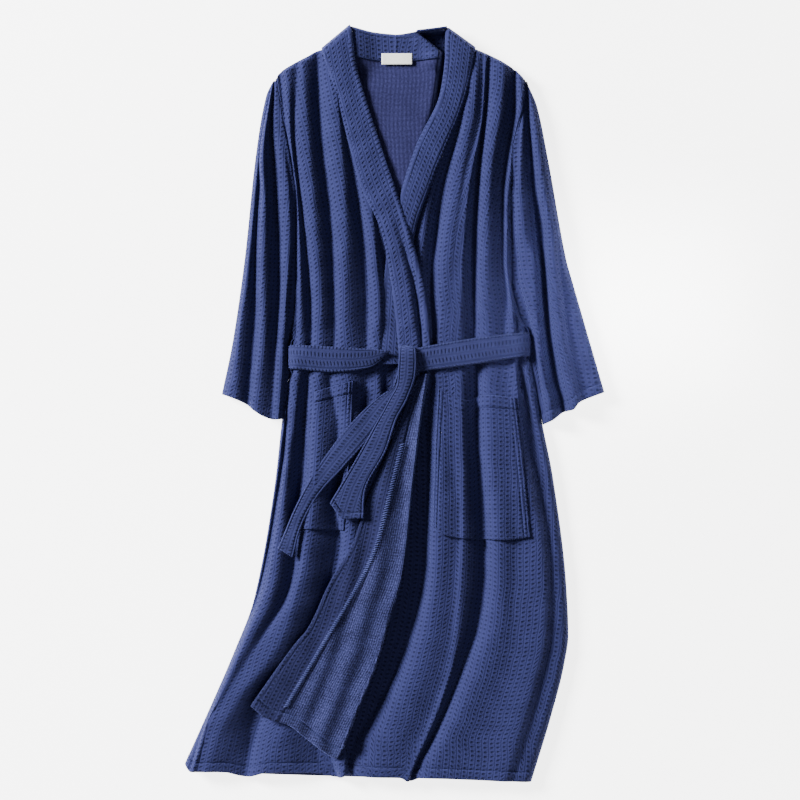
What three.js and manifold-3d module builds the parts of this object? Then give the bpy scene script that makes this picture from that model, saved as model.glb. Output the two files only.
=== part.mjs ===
// A wrap bathrobe of waffle cloth, lying on its back with its belt tied.
// Millimetres. +X is the wearer's left, +Y runs from the hem to the collar, +Z is up from the surface
// that the robe lies on. The origin is the middle of the robe's footprint, on that surface.
import * as THREE from 'three';
import { mergeVertices } from 'three/addons/utils/BufferGeometryUtils.js';
import Module from 'manifold-3d';

const wasm = await Module();
wasm.setup();

// ---- Driving dimensions -------------------------------------------------------------------------
const HALF_LENGTH = 568;        // collar to hem, halved
const HALF_WIDTH = 316;         // hem corner to the left cuff's edge, halved
const TOUCH = 0.3;              // gap kept between pieces that are sewn or rest on each other
const EDGE_STEPS = 3;           // straight pieces between two points of a curved cloth edge

// Heights of the layers. A pleated panel's solid is as thick as its pleats are deep.
const BACK_TOP = 5;
const PLEAT_LOW = 14;           // underside of the fronts: the wearer's body goes below it
const PLEAT_TOP = 24;
const LAP_LOW = PLEAT_TOP + TOUCH;
const LAP_TOP = 30;             // the lapped front where it crosses the other front
const UNDER_BAND_LOW = 17;
const UNDER_BAND_TOP = 23;
const NECK_BAND_TOP = 9;        // collar behind the neck, lying on the back panel
const BELT_LOW = 31.5;
const BELT_THICK = 4;
const FLAP_LOW = 31.5;
const FLAP_TOP = 35.5;
const TAIL_OVER_LOW = 36.5;
const TAIL_THICK = 4;
const KNOT_TOP = 48;

const SLEEVE_TOP = 24;
const SLEEVE_WALL = 4;
const CUFF_OVERRUN = 40;        // how far the hollow's cut runs past the open cuff
const POCKET_TOP = 31;
const POCKET_CLOTH = 2;
const POCKET_SEAM = 5;          // width of the sewn edge round a patch pocket
const SEAM_WIDTH = 6;           // width of a side or shoulder seam
const FOLD_CLOTH = 2;           // half the cloth's thickness at the collar's fold
const FOLD_WIDTH = 5;           // the collar's fold at the side of the neck, to each side of its line

const BELT_BACK_THICK = 2.9;
const LABEL_SIZE = [46, 17, 1];
const LABEL_X = 3;              // the middle of the label, and its lower edge
const LABEL_FOOT = 510;
const LOOP_LOW = 8;
const LOOP_HIGH = 16;

// Joints: the sleeves bend below the armpit, and the solids leave room for that swing.
const RIGHT_SLEEVE_PIVOT = [-188, 235];
const LEFT_SLEEVE_PIVOT = [219, 235];
const SLEEVE_JOINT_RADIUS = 36;
const SLEEVE_SWING_DEG = 40;
const KNOT_CENTRE = [14, 68];
const KNOT_RADIUS = 28.5;
const KNOT_GAP = 0.5;

// ---- Cloth edges, as [x, y] ---------------------------------------------------------------------
// Right and left are the wearer's. Side, sleeve and band edges run from their upper end downwards.
const RIGHT_SHOULDER = [[-107, 534], [-142, 517], [-172, 498], [-179, 487]];
const LEFT_SHOULDER = [[119, 535], [144, 524], [167, 512], [193, 491], [196, 486]];
const BACK_NECK = [[-107, 534], [-62, 522], [2, 514], [68, 521], [119, 535]];
const RIGHT_ARMHOLE = [[-179, 487], [-169, 423], [-160, 375], [-151, 305]];
const LEFT_ARMHOLE = [[196, 486], [198, 455], [188, 420], [179, 377], [177, 305]];
const RIGHT_SIDE = [
  [-151, 305], [-150, 200], [-151, 90], [-152, 50], [-163, -7], [-181, -124], [-212, -294],
  [-241, -371], [-280, -461], [-HALF_WIDTH, -541]];
const LEFT_SIDE = [
  [177, 305], [176, 188], [186, 126], [194, 74], [216, -31], [238, -112], [259, -275], [262, -347],
  [256, -390], [235, -473], [206, -HALF_LENGTH]];
const HEM = [[-HALF_WIDTH, -541], [-306, -552], [-222, -556], [-76, -558], [8, -563], [206, -HALF_LENGTH]];

const RIGHT_SLEEVE_OUT = [[-179, 487], [-193, 465], [-208, 381], [-226, 216], [-244, 92], [-260, 15]];
const RIGHT_SLEEVE_IN = [[-153, 303], [-157, 200], [-165, 100], [-168, 40], [-167, -22]];
const RIGHT_CUFF = [[-260, 15], [-217, -6], [-167, -22]];
const LEFT_SLEEVE_OUT = [[196, 486], [214, 450], [231, 369], [259, 216], [268, 184], [HALF_WIDTH, 18]];
const LEFT_SLEEVE_IN = [[180, 303], [186, 188], [202, 126], [212, 74], [229, -31]];
const LEFT_CUFF = [[HALF_WIDTH, 18], [275, -6], [257, -19], [229, -31]];

const RIGHT_BAND_IN = [
  [-66, HALF_LENGTH], [-62, 522], [-50, 477], [-26, 402], [8, 300], [31, 225], [43, 177], [53, 92]];
const RIGHT_BAND_SEAM = [[-107, 534], [-83, 458], [-64, 383], [-50, 333], [-18, 262], [-5, 201], [8, 92]];
const LEFT_BAND_IN = [[79, 564], [75, 519], [68, 467], [35, 388], [8, 305], [-12, 216], [-26, 60]];
const LEFT_BAND_SEAM = [[119, 535], [107, 471], [78, 393], [54, 335], [28, 258], [17, 171], [10, 60]];
const NECK_BAND_TOP_EDGE = [[-66, HALF_LENGTH], [2, 556], [79, 564]];
const NECK_BAND_SEAM = [[-62, 522], [2, 514], [75, 519]];
const CENTRE_BACK_X = 2;

const FOLD_LINE = [
  [52, 46], [40, -26], [29, -112], [13, -248], [-7, -317], [-26, -383], [-50, -442], [-74, -504]];
const LAP_BOTTOM = [-71, -556];          // the lapped front's fold meets its own hem here
const TURN_BACK_SEAM = [
  [34, 42], [14, -60], [-8, -150], [-27, -218], [-62, -288], [-98, -348], [-160, -452]];
const TURN_BACK_EDGE = [
  [33, 40], [8, -24], [-9, -66], [-39, -136], [-62, -206], [-98, -268], [-131, -337], [-148, -357],
  [-203, -433], [-216, -452]];
const TURN_BACK_HEM = [[-216, -452], [-193, -472], [-160, -481], [-88, -531], [-76, -506]];

// The turned-back edge's lower corner lifts about this straight line, which runs from its free edge,
// just below the belt's end, to the foot of the fold.
const TURN_BACK_AXIS = [[-62.5, -208], [-74, -504]];
const AXIS_OVERRUN = 0.1;       // how far past each end the cut runs, as a share of its length

// Where the lapped front steps up over the other front's edge: a straight line down the robe.
const LAP_STEP_TOP = [-32, 340];
const LAP_STEP_LOW = [-80, -575];
const LAP_STEP_WIDTH = 10;
const UNDER_EDGE_GAP = 5;
const UNDER_EDGE_TOP = [-28, 40];       // the covered front's edge, just below the knot

const RIGHT_POCKET = [[-116, 20], [-86, 29], [-61, 36], [-67, -80], [-76, -190], [-134, -187], [-124, -80]];
const LEFT_POCKET = [
  [65, 23], [78, 17], [111, 6], [133, 14], [181, 10], [193, -89], [204, -200], [163, -204], [75, -197],
  [57, -181], [60, -80]];

const BELT_RIGHT_TOP = [[-152, 89], [-60, 84], [-30, 82], [-9, 77]];
const BELT_RIGHT_LOW = [[-152, 53], [-90, 48], [-40, 54], [-9, 77]];
const BELT_LEFT_TOP = [[33, 85], [110, 98], [193, 108]];
const BELT_LEFT_LOW = [[33, 49], [110, 58], [197, 72]];
const BELT_BACK_TOP = [[-155, 89], [-60, 85], [110, 103], [193, 108]];
const BELT_BACK_LOW = [[-156, 53], [-90, 46], [110, 57], [199, 72]];
const BELT_CHANNEL_TOP = [[-175, 93], [-60, 89], [110, 107], [230, 116]];
const BELT_CHANNEL_LOW = [[-175, 48], [-90, 42], [110, 53], [230, 66]];
const BELT_RIGHT_TURN = [[-151.3, 89], [-154, 89], [-156, 53], [-153, 53]];
const BELT_LEFT_TURN = [[190, 108], [193.5, 108], [199, 72], [195.5, 72]];
const BELT_LOOP_RIGHT = [
  [-151.6, 98], [-158.5, 98], [-159.5, 44], [-153.4, 44], [-153.4, 46], [-157.6, 46], [-156.8, 96],
  [-151.6, 96]];
const BELT_LOOP_LEFT = [
  [189, 119], [197, 119], [205.5, 60], [198, 60], [198.4, 62.5], [202.8, 62.5], [195.6, 116.5],
  [189.4, 116.5]];
const KNOT = [[2, 86], [33, 85], [33, 49], [28, 44], [2, 50], [-4, 62], [0, 76]];
const TAIL_OVER = [
  [4, 66], [0, 36], [-10, 6], [-29, -30], [-58, -82], [-97, -148], [-75, -172], [-46, -171],
  [-47, -135], [-13, -64], [2, -24], [28, 40], [31, 60]];
const TAIL_UNDER = [
  [-4, 40], [-34, 0], [-68, -27], [-121, -103], [-146, -148], [-175, -216], [-152, -230], [-142, -191],
  [-118, -143], [-77, -95], [-54, -70], [-34, -46], [0, 10], [24, 40]];

// ---- Building blocks ----------------------------------------------------------------------------
const points = (list) => list.map(([x, y]) => new THREE.Vector2(x, y));
const pairs = (vectors) => vectors.map((v) => [v.x, v.y]);
const smooth = (edge, steps = EDGE_STEPS) =>
  pairs(new THREE.SplineCurve(points(edge)).getPoints((edge.length - 1) * steps));
const back = (edge) => [...edge].reverse();

// One outline from edges that run head to tail; a point repeated where two edges meet is dropped.
function outline(...edges) {
  const kept = [];
  for (const point of edges.flat()) {
    const last = kept[kept.length - 1];
    if (!last || Math.hypot(point[0] - last[0], point[1] - last[1]) > 0.5) kept.push(point);
  }
  const [first, last] = [kept[0], kept[kept.length - 1]];
  if (Math.hypot(first[0] - last[0], first[1] - last[1]) <= 0.5) kept.pop();
  return new THREE.Shape(points(kept));
}

// The same edge moved sideways: a positive shift goes to the left of its direction of travel.
function beside(edge, shift) {
  return edge.map(([x, y], i) => {
    const [ax, ay] = edge[Math.max(i - 1, 0)];
    const [bx, by] = edge[Math.min(i + 1, edge.length - 1)];
    const run = Math.hypot(bx - ax, by - ay);
    return [x - ((by - ay) / run) * shift, y + ((bx - ax) / run) * shift];
  });
}

const ribbon = (edge, from, to) => outline(beside(edge, from), back(beside(edge, to)));

function toManifold(geometry) {
  const bare = geometry.clone();
  bare.deleteAttribute('normal');
  bare.deleteAttribute('uv');
  const merged = mergeVertices(bare, 1e-4);
  return new wasm.Manifold(new wasm.Mesh({
    numProp: 3,
    vertProperties: new Float32Array(merged.attributes.position.array),
    triVerts: new Uint32Array(merged.index.array),
  }));
}

function slab(shape, low, high) {
  const geometry = new THREE.ExtrudeGeometry(shape, { depth: high - low, bevelEnabled: false });
  geometry.translate(0, 0, low);
  return toManifold(geometry);
}

function box(lowCorner, highCorner) {
  const size = highCorner.map((value, i) => value - lowCorner[i]);
  const geometry = new THREE.BoxGeometry(...size);
  geometry.translate(...lowCorner.map((value, i) => value + size[i] / 2));
  return toManifold(geometry);
}

const join = (...solids) => solids.reduce((whole, solid) => whole.add(solid));

const robe = new THREE.Group();

function place(name, solid, material) {
  const made = solid.getMesh();
  const geometry = new THREE.BufferGeometry();
  const corners = new Float32Array(made.numVert * 3);
  for (let i = 0; i < made.numVert; i += 1) {
    for (let k = 0; k < 3; k += 1) corners[3 * i + k] = made.vertProperties[i * made.numProp + k];
  }
  geometry.setAttribute('position', new THREE.BufferAttribute(corners, 3));
  geometry.setIndex(new THREE.BufferAttribute(new Uint32Array(made.triVerts), 1));
  geometry.computeVertexNormals();
  const mesh = new THREE.Mesh(geometry, material);
  mesh.name = name;
  robe.add(mesh);
}

const cloth = (name, color) =>
  new THREE.MeshStandardMaterial({ name, color, roughness: 0.95, metalness: 0 });
const waffle = cloth('waffle_cloth', 0x3c4878);
const wrongSide = cloth('waffle_wrong_side', 0x46507f);
const beltCloth = cloth('belt_cloth', 0x3a4574);
const labelTape = cloth('label_tape', 0xf2f1ee);

// ---- Back panel ---------------------------------------------------------------------------------
// A sheet whose side and shoulder seams stand up to meet the fronts. The belt passes under it.
const rightSide = smooth(RIGHT_SIDE);
const leftSide = smooth(LEFT_SIDE);
const rightArmhole = smooth(RIGHT_ARMHOLE);
const leftArmhole = smooth(LEFT_ARMHOLE);
const rightShoulder = smooth(RIGHT_SHOULDER);
const leftShoulder = smooth(LEFT_SHOULDER);
const hem = smooth(HEM);

const backOutline = outline(
  smooth(BACK_NECK), leftShoulder, leftArmhole, leftSide, back(hem), back(rightSide),
  back(rightArmhole), back(rightShoulder));
const seamTop = PLEAT_LOW - TOUCH;
// The seams start a little way in from the corners, so that the armholes stay open.
const seams = [
  ribbon(rightSide.slice(2), 0, SEAM_WIDTH),
  ribbon(leftSide.slice(2), 0, -SEAM_WIDTH),
  ribbon(rightShoulder, TOUCH, SEAM_WIDTH),
  ribbon(leftShoulder, -TOUCH, -SEAM_WIDTH),
];
const beltChannel = slab(
  outline(BELT_CHANNEL_TOP, back(BELT_CHANNEL_LOW)), -1, BELT_BACK_THICK + TOUCH);
const backPanel = join(
  slab(backOutline, 0, BACK_TOP),
  ...seams.map((seam) => slab(seam, BACK_TOP - 1, seamTop)),
).intersect(slab(backOutline, 0, PLEAT_TOP)).subtract(beltChannel);
place('back_panel', backPanel, waffle);

// ---- Front panels -------------------------------------------------------------------------------
const foldLine = smooth(FOLD_LINE);
const rightBandSeam = smooth(RIGHT_BAND_SEAM);
const lappedOutline = outline(
  rightBandSeam, foldLine, [LAP_BOTTOM], [HEM[3], HEM[2], HEM[1]],
  back(rightSide), back(rightArmhole), back(rightShoulder));

// A half plane's slab: everything on the wearer's right of the step line, moved by shift.
function rightOfStep(shift, low, high) {
  const far = -2 * HALF_WIDTH;
  const above = HALF_LENGTH + SEAM_WIDTH;
  return slab(outline(
    [[LAP_STEP_TOP[0] + shift, above], [LAP_STEP_TOP[0] + shift, LAP_STEP_TOP[1]],
      [LAP_STEP_LOW[0] + shift, LAP_STEP_LOW[1]]],
    [[far, LAP_STEP_LOW[1]], [far, above]]), low, high);
}
const lapped = join(
  slab(lappedOutline, PLEAT_LOW, PLEAT_TOP).intersect(rightOfStep(0, PLEAT_LOW - 1, PLEAT_TOP + 1)),
  slab(lappedOutline, PLEAT_LOW, LAP_TOP)
    .intersect(rightOfStep(0, PLEAT_LOW - 1, LAP_TOP + 1))
    .subtract(rightOfStep(-LAP_STEP_WIDTH, PLEAT_LOW - 1, LAP_TOP + 1)),
  slab(lappedOutline, LAP_LOW, LAP_TOP)
    .subtract(rightOfStep(-LAP_STEP_WIDTH, LAP_LOW - 1, LAP_TOP + 1)),
);

const leftBandSeam = smooth(LEFT_BAND_SEAM);
const underOutline = outline(
  leftBandSeam, [UNDER_EDGE_TOP], [[LAP_STEP_LOW[0] + UNDER_EDGE_GAP, LAP_BOTTOM[1]]],
  HEM.slice(-2),
  back(leftSide), back(leftArmhole), back(leftShoulder));
const under = slab(underOutline, PLEAT_LOW, PLEAT_TOP)
  .subtract(rightOfStep(UNDER_EDGE_GAP, PLEAT_LOW - 1, PLEAT_TOP + 1));

// ---- Collar and front bands ---------------------------------------------------------------------
// Each half runs down its front and lies behind the neck as far as the centre-back seam. The two
// stretches are joined where the band folds over at the side of the neck.
const rightBandIn = smooth(RIGHT_BAND_IN);
const leftBandIn = smooth(LEFT_BAND_IN);
const neckBand = outline(smooth(NECK_BAND_TOP_EDGE, 4), back(smooth(NECK_BAND_SEAM, 4)));
const halfSpace = (low, high) => box([low, 0, BACK_TOP - 1], [high, 2 * HALF_LENGTH, KNOT_TOP]);
const neckLow = BACK_TOP + TOUCH;
const seamGap = TOUCH / 2;

function collarHalf(bandIn, bandSeam, low, high, neckSide, gap) {
  const frontOutline = outline(bandIn, back(beside(bandSeam, gap)));
  const [top, foot] = [bandIn[0], bandIn[EDGE_STEPS]];
  const foldZone = slab(ribbon([top, foot], -FOLD_WIDTH, FOLD_WIDTH), neckLow, high);
  const fold = join(slab(frontOutline, neckLow, high), slab(neckBand, neckLow, high));
  return join(
    slab(frontOutline, low, high),
    slab(neckBand, neckLow, NECK_BAND_TOP).intersect(neckSide),
    fold.intersect(foldZone),
    slab(ribbon([top, foot], -FOLD_CLOTH, FOLD_CLOTH), neckLow, high));
}
const collarRight = collarHalf(rightBandIn, rightBandSeam, LAP_LOW, LAP_TOP,
  halfSpace(-HALF_WIDTH, CENTRE_BACK_X - seamGap), TOUCH);
const collarLeft = collarHalf(leftBandIn, leftBandSeam, UNDER_BAND_LOW, UNDER_BAND_TOP,
  halfSpace(CENTRE_BACK_X + seamGap, HALF_WIDTH), -TOUCH);

const sewnClear = (solid, band) => solid.subtract(band);
place('front_panel_right', sewnClear(lapped, collarRight), waffle);
place('front_panel_left', sewnClear(under, collarLeft), waffle);
place('collar_band_right', collarRight, waffle);
place('collar_band_left', collarLeft, waffle);

const [labelX, labelY, labelZ] = LABEL_SIZE;
const labelLow = NECK_BAND_TOP + TOUCH;
place('neck_label', box(
  [LABEL_X - labelX / 2, LABEL_FOOT, labelLow],
  [LABEL_X + labelX / 2, LABEL_FOOT + labelY, labelLow + labelZ]), labelTape);

// ---- Turned-back front edge ---------------------------------------------------------------------
const turnBackSeam = smooth(TURN_BACK_SEAM);
const turnBack = slab(
  outline(beside(foldLine, -1), back(TURN_BACK_HEM), [TURN_BACK_SEAM[6]], back(turnBackSeam)),
  FLAP_LOW, FLAP_TOP);
const turnedBand = slab(
  outline(turnBackSeam, [[-160, -481], [-193, -472]], back(smooth(TURN_BACK_EDGE))),
  FLAP_LOW, FLAP_TOP);
const bandGap = slab(ribbon(turnBackSeam, -TOUCH, TOUCH), FLAP_LOW - 1, FLAP_TOP + 1);
// The cloth between the axis and the fold, and all that lies above it, stays with the lapped front.
const [axisTop, axisFoot] = TURN_BACK_AXIS;
const axisRun = axisTop.map((value, i) => (value - axisFoot[i]) * AXIS_OVERRUN);
const axisLine = [
  [axisTop[0] + axisRun[0], axisTop[1] + axisRun[1]],
  [axisFoot[0] - axisRun[0], axisFoot[1] - axisRun[1]]];
const corner = slab(ribbon(axisLine, -TOUCH, -HALF_WIDTH), FLAP_LOW - 1, FLAP_TOP + 1);
const cornerAndGap = slab(ribbon(axisLine, TOUCH, -HALF_WIDTH), FLAP_LOW - 1, FLAP_TOP + 1);
const beyondBand = turnBack.subtract(turnedBand).subtract(bandGap);
place('front_fold_edge', beyondBand.subtract(cornerAndGap), wrongSide);
place('front_turn_back', beyondBand.intersect(corner), wrongSide);
const bandOnly = turnedBand.subtract(bandGap);
place('collar_band_folded', bandOnly.subtract(cornerAndGap), wrongSide);
place('collar_band_turned', bandOnly.intersect(corner), wrongSide);

// ---- Sleeves ------------------------------------------------------------------------------------
// Each is a flattened tube in two lengths: the upper one is sewn to the armhole, and the lower one
// turns about the pivot, with its round end in the upper one's hollow end.
function disc([x, y], radius, low, high) {
  const shape = new THREE.Shape();
  shape.absarc(x, y, radius, 0, 2 * Math.PI);
  const geometry = new THREE.ExtrudeGeometry(shape, {
    depth: high - low, bevelEnabled: false, curveSegments: 40,
  });
  geometry.translate(0, 0, low);
  return toManifold(geometry);
}

function turned(solid, [x, y], degrees) {
  return solid.translate([-x, -y, 0]).rotate([0, 0, degrees]).translate([x, y, 0]);
}

function sleeve(name, { out, inner, armhole, cuff, pivot, outward }) {
  const outEdge = smooth(out);
  const inEdge = smooth(inner);
  const sleeveOutline = outline(outEdge, cuff, back(inEdge), back(beside(armhole, outward * TOUCH)));
  const hollowOutline = outline(
    beside(outEdge, -outward * SLEEVE_WALL),
    cuff.map(([x, y]) => [x - outward * SLEEVE_WALL, y - CUFF_OVERRUN]),
    back(beside(inEdge, outward * SLEEVE_WALL)),
    back(beside(armhole, -outward * 2 * SLEEVE_WALL)));
  const hollow = slab(hollowOutline, SLEEVE_WALL, SLEEVE_TOP - SLEEVE_WALL);
  const whole = slab(sleeveOutline, 0, SLEEVE_TOP);
  const [px, py] = pivot;
  const reach = HALF_WIDTH - LEFT_SLEEVE_PIVOT[0] + SLEEVE_JOINT_RADIUS;
  const below = box([px - reach, py - HALF_LENGTH, -1], [px + reach, py, SLEEVE_TOP + 1]);
  const end = disc(pivot, SLEEVE_JOINT_RADIUS, -1, SLEEVE_TOP + 1);
  const lowerZone = join(below, end);
  const lower = whole.intersect(lowerZone);
  // Room for the swing: the lower length's outline at every few degrees, with a little clearance.
  let swept = disc(pivot, SLEEVE_JOINT_RADIUS + 1, -1, SLEEVE_TOP + 1).add(
    box([px - reach, py - HALF_LENGTH, -1], [px + reach, py + 1, SLEEVE_TOP + 1]));
  const swing = slab(sleeveOutline, -1, SLEEVE_TOP + 1).intersect(lowerZone);
  for (let angle = 4; angle <= SLEEVE_SWING_DEG + 2; angle += 4) {
    swept = swept.add(turned(swing, pivot, outward * angle));
  }
  place(`${name}_upper`, whole.subtract(swept).subtract(hollow), waffle);
  place(`${name}_lower`, lower.subtract(hollow), waffle);
}

sleeve('sleeve_right', {
  out: RIGHT_SLEEVE_OUT, inner: RIGHT_SLEEVE_IN, armhole: rightArmhole, cuff: RIGHT_CUFF,
  pivot: RIGHT_SLEEVE_PIVOT, outward: -1,
});
sleeve('sleeve_left', {
  out: LEFT_SLEEVE_OUT, inner: LEFT_SLEEVE_IN, armhole: leftArmhole, cuff: LEFT_CUFF,
  pivot: LEFT_SLEEVE_PIVOT, outward: 1,
});

// ---- Patch pockets ------------------------------------------------------------------------------
// A cloth patch sewn down on three sides: the first edge of the outline is the mouth.
function pocket(name, corners, mouthPoints, floor) {
  const shape = outline(corners);
  const walls = corners.slice(mouthPoints - 1).concat([corners[0]]);
  const low = floor + TOUCH;
  const sewn = slab(ribbon(walls, 0, -POCKET_SEAM), low, POCKET_TOP);
  const patch = slab(shape, POCKET_TOP - POCKET_CLOTH, POCKET_TOP);
  place(name, join(patch, sewn.intersect(slab(shape, low, POCKET_TOP))), waffle);
}
pocket('pocket_right', RIGHT_POCKET, 3, PLEAT_TOP);
pocket('pocket_left', LEFT_POCKET, 5, PLEAT_TOP);

// ---- Belt ---------------------------------------------------------------------------------------
// One strip goes round the waist: across the fronts, round both side seams and under the back.
const beltHigh = BELT_LOW + BELT_THICK;
const rightTurn = slab(outline(BELT_RIGHT_TURN), 0, beltHigh);
const leftTurn = slab(outline(BELT_LEFT_TURN), 0, beltHigh);
const beltBack = slab(outline(BELT_BACK_TOP, back(BELT_BACK_LOW)), 0, BELT_BACK_THICK);
const beltRight = slab(
  outline([BELT_RIGHT_TURN[1]], smooth(BELT_RIGHT_TOP, 2), back(smooth(BELT_RIGHT_LOW, 2)),
    [BELT_RIGHT_TURN[2]]), BELT_LOW, beltHigh);
const beltLeft = slab(
  outline(BELT_LEFT_TOP, BELT_LEFT_TURN.slice(1, 3), back(BELT_LEFT_LOW)), BELT_LOW, beltHigh);

// The knot fits in a circle, so that the two ends of the belt can turn round it.
const knotRoom = disc(KNOT_CENTRE, KNOT_RADIUS + KNOT_GAP, BELT_LOW - 1, KNOT_TOP + 1);
const knot = slab(outline(KNOT), BELT_LOW, KNOT_TOP).intersect(disc(KNOT_CENTRE, KNOT_RADIUS, 0, KNOT_TOP));
const beltStrip = join(beltRight, rightTurn, beltBack, leftTurn, beltLeft);
place('belt_wrap', beltStrip.subtract(knotRoom), beltCloth);
place('belt_knot', knot, beltCloth);

const tailOver = slab(outline(TAIL_OVER), TAIL_OVER_LOW, TAIL_OVER_LOW + TAIL_THICK)
  .subtract(knotRoom);
const tailUnder = slab(outline(TAIL_UNDER), BELT_LOW, BELT_LOW + TAIL_THICK)
  .subtract(knotRoom);
place('belt_tail_over', tailOver, beltCloth);
place('belt_tail_under', tailUnder, beltCloth);

// Belt loops: a narrow strip sewn to each side seam above and below the belt, outside it.
place('belt_loop_right', slab(outline(BELT_LOOP_RIGHT), LOOP_LOW, LOOP_HIGH), beltCloth);
place('belt_loop_left', slab(outline(BELT_LOOP_LEFT), LOOP_LOW, LOOP_HIGH), beltCloth);

export default robe;
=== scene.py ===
"""A navy waffle-cloth wrap robe, laid flat with its belt tied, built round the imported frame.

Lengths in this file are millimetres in the frame's axes until a mesh is made: +X towards the wearer's
left, +Y towards the collar, +Z up from the surface that the robe lies on.
"""
import math

import bpy
import numpy as np
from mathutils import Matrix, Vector


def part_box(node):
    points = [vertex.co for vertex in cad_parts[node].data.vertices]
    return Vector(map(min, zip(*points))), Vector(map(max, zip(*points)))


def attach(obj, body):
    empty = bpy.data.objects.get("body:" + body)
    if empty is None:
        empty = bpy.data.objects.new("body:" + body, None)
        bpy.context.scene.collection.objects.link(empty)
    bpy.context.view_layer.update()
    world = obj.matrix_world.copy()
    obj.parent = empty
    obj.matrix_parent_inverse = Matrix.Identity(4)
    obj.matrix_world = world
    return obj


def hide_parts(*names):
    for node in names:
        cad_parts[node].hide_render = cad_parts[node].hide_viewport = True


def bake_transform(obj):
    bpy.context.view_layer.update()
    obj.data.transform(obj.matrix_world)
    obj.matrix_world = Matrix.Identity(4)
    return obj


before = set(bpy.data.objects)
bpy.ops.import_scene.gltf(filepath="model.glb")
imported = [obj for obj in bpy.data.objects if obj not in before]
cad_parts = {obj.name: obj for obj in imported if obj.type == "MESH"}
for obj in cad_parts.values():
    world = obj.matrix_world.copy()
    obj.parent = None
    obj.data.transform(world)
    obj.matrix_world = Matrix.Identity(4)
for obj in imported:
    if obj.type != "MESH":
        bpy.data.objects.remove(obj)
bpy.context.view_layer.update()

MM = 0.001
CLOTH = 1.4                 # thickness of one layer of waffle cloth
HEM = 15.0                  # depth of a turned hem,
POCKET_HEM = 18.0           # of a pocket's mouth,
FLAP_HEM = 16.0             # and of the turned-back front edge
CELL = (9.6, 6.8)           # one waffle cell, across and along the cloth,
BELT_CELL = (13.0, 5.4)     # and in the belt
FOLD_DEPTH = 1.25           # how much the folds' depths below are drawn out,
FOLD_MIDDLE = 26.0          # about this height,
FOLD_BOTTOM = 6.5           # and the lowest that they reach
ROW_STEP = 4.5              # length of a mesh face along the cloth
COLUMN_STEP = 2.1           # and across it

# The camera looks straight down; the width of the view is set at the height of the cloth's folds.
VIEW_WIDTH = 1200.0
VIEW_CENTRE = (8.2, 6.4)
CAMERA_HEIGHT = 5000.0
FOLD_HEIGHT = 25.0
SENSOR = 36.0


# ---- Curves --------------------------------------------------------------------------------------
def smooth(knots, values, at):
    """A smooth curve through values at knots that never overshoots them."""
    knots, values, at = (np.asarray(a, float) for a in (knots, values, at))
    gaps = np.diff(knots)
    rates = np.diff(values) / gaps
    slopes = np.zeros(len(knots))
    slopes[0], slopes[-1] = rates[0], rates[-1]
    for i in range(1, len(knots) - 1):
        if rates[i - 1] * rates[i] > 0:
            slopes[i] = 2 * rates[i - 1] * rates[i] / (rates[i - 1] + rates[i])
    i = np.clip(np.searchsorted(knots, at) - 1, 0, len(knots) - 2)
    t = np.clip((at - knots[i]) / gaps[i], 0, 1)
    t2, t3 = t ** 2, t ** 3
    return (
        values[i] * (2 * t3 - 3 * t2 + 1) + values[i + 1] * (3 * t2 - 2 * t3)
        + gaps[i] * (slopes[i] * (t3 - 2 * t2 + t) + slopes[i + 1] * (t3 - t2)))


def along(points, shares):
    """Points at shares of the length of a smooth curve through points."""
    p = np.asarray(points, float)
    knots = np.concatenate([[0], np.cumsum(np.linalg.norm(np.diff(p, axis=0), axis=1))])
    fine = np.linspace(0, knots[-1], 400)
    path = np.stack([smooth(knots, p[:, k], fine) for k in range(p.shape[1])], 1)
    run = np.concatenate([[0], np.cumsum(np.linalg.norm(np.diff(path, axis=0), axis=1))])
    at = np.asarray(shares) * run[-1]
    return np.stack([np.interp(at, run, path[:, k]) for k in range(p.shape[1])], 1)


def span(points):
    return float(np.sum(np.linalg.norm(np.diff(np.asarray(points, float), axis=0), axis=1)))


def ease(t):
    t = np.clip(t, 0, 1)
    return t * t * (3 - 2 * t)


def rounded(distance, radius):
    """0 at an edge, 1 beyond radius from it, in a quarter circle."""
    return np.sqrt(np.clip(1 - (1 - np.clip(distance / radius, 0, 1)) ** 2, 0, 1))


def hump(distance, at, width):
    """1 at a place, falling away to 0 on both sides of it."""
    return np.exp(-((distance - at) / width) ** 2)


def ripple(x, y, scale, seed):
    """A smooth, repeatable unevenness between about -1 and 1."""
    value = 0 * x
    generator = np.random.default_rng(seed)
    for _ in range(6):
        angle = generator.uniform(0, math.pi)
        size = scale * generator.uniform(0.5, 1.6)
        phase = generator.uniform(0, 2 * math.pi)
        value = value + np.sin((x * math.cos(angle) + y * math.sin(angle)) * 2 * math.pi / size + phase)
    return value / 3


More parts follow.
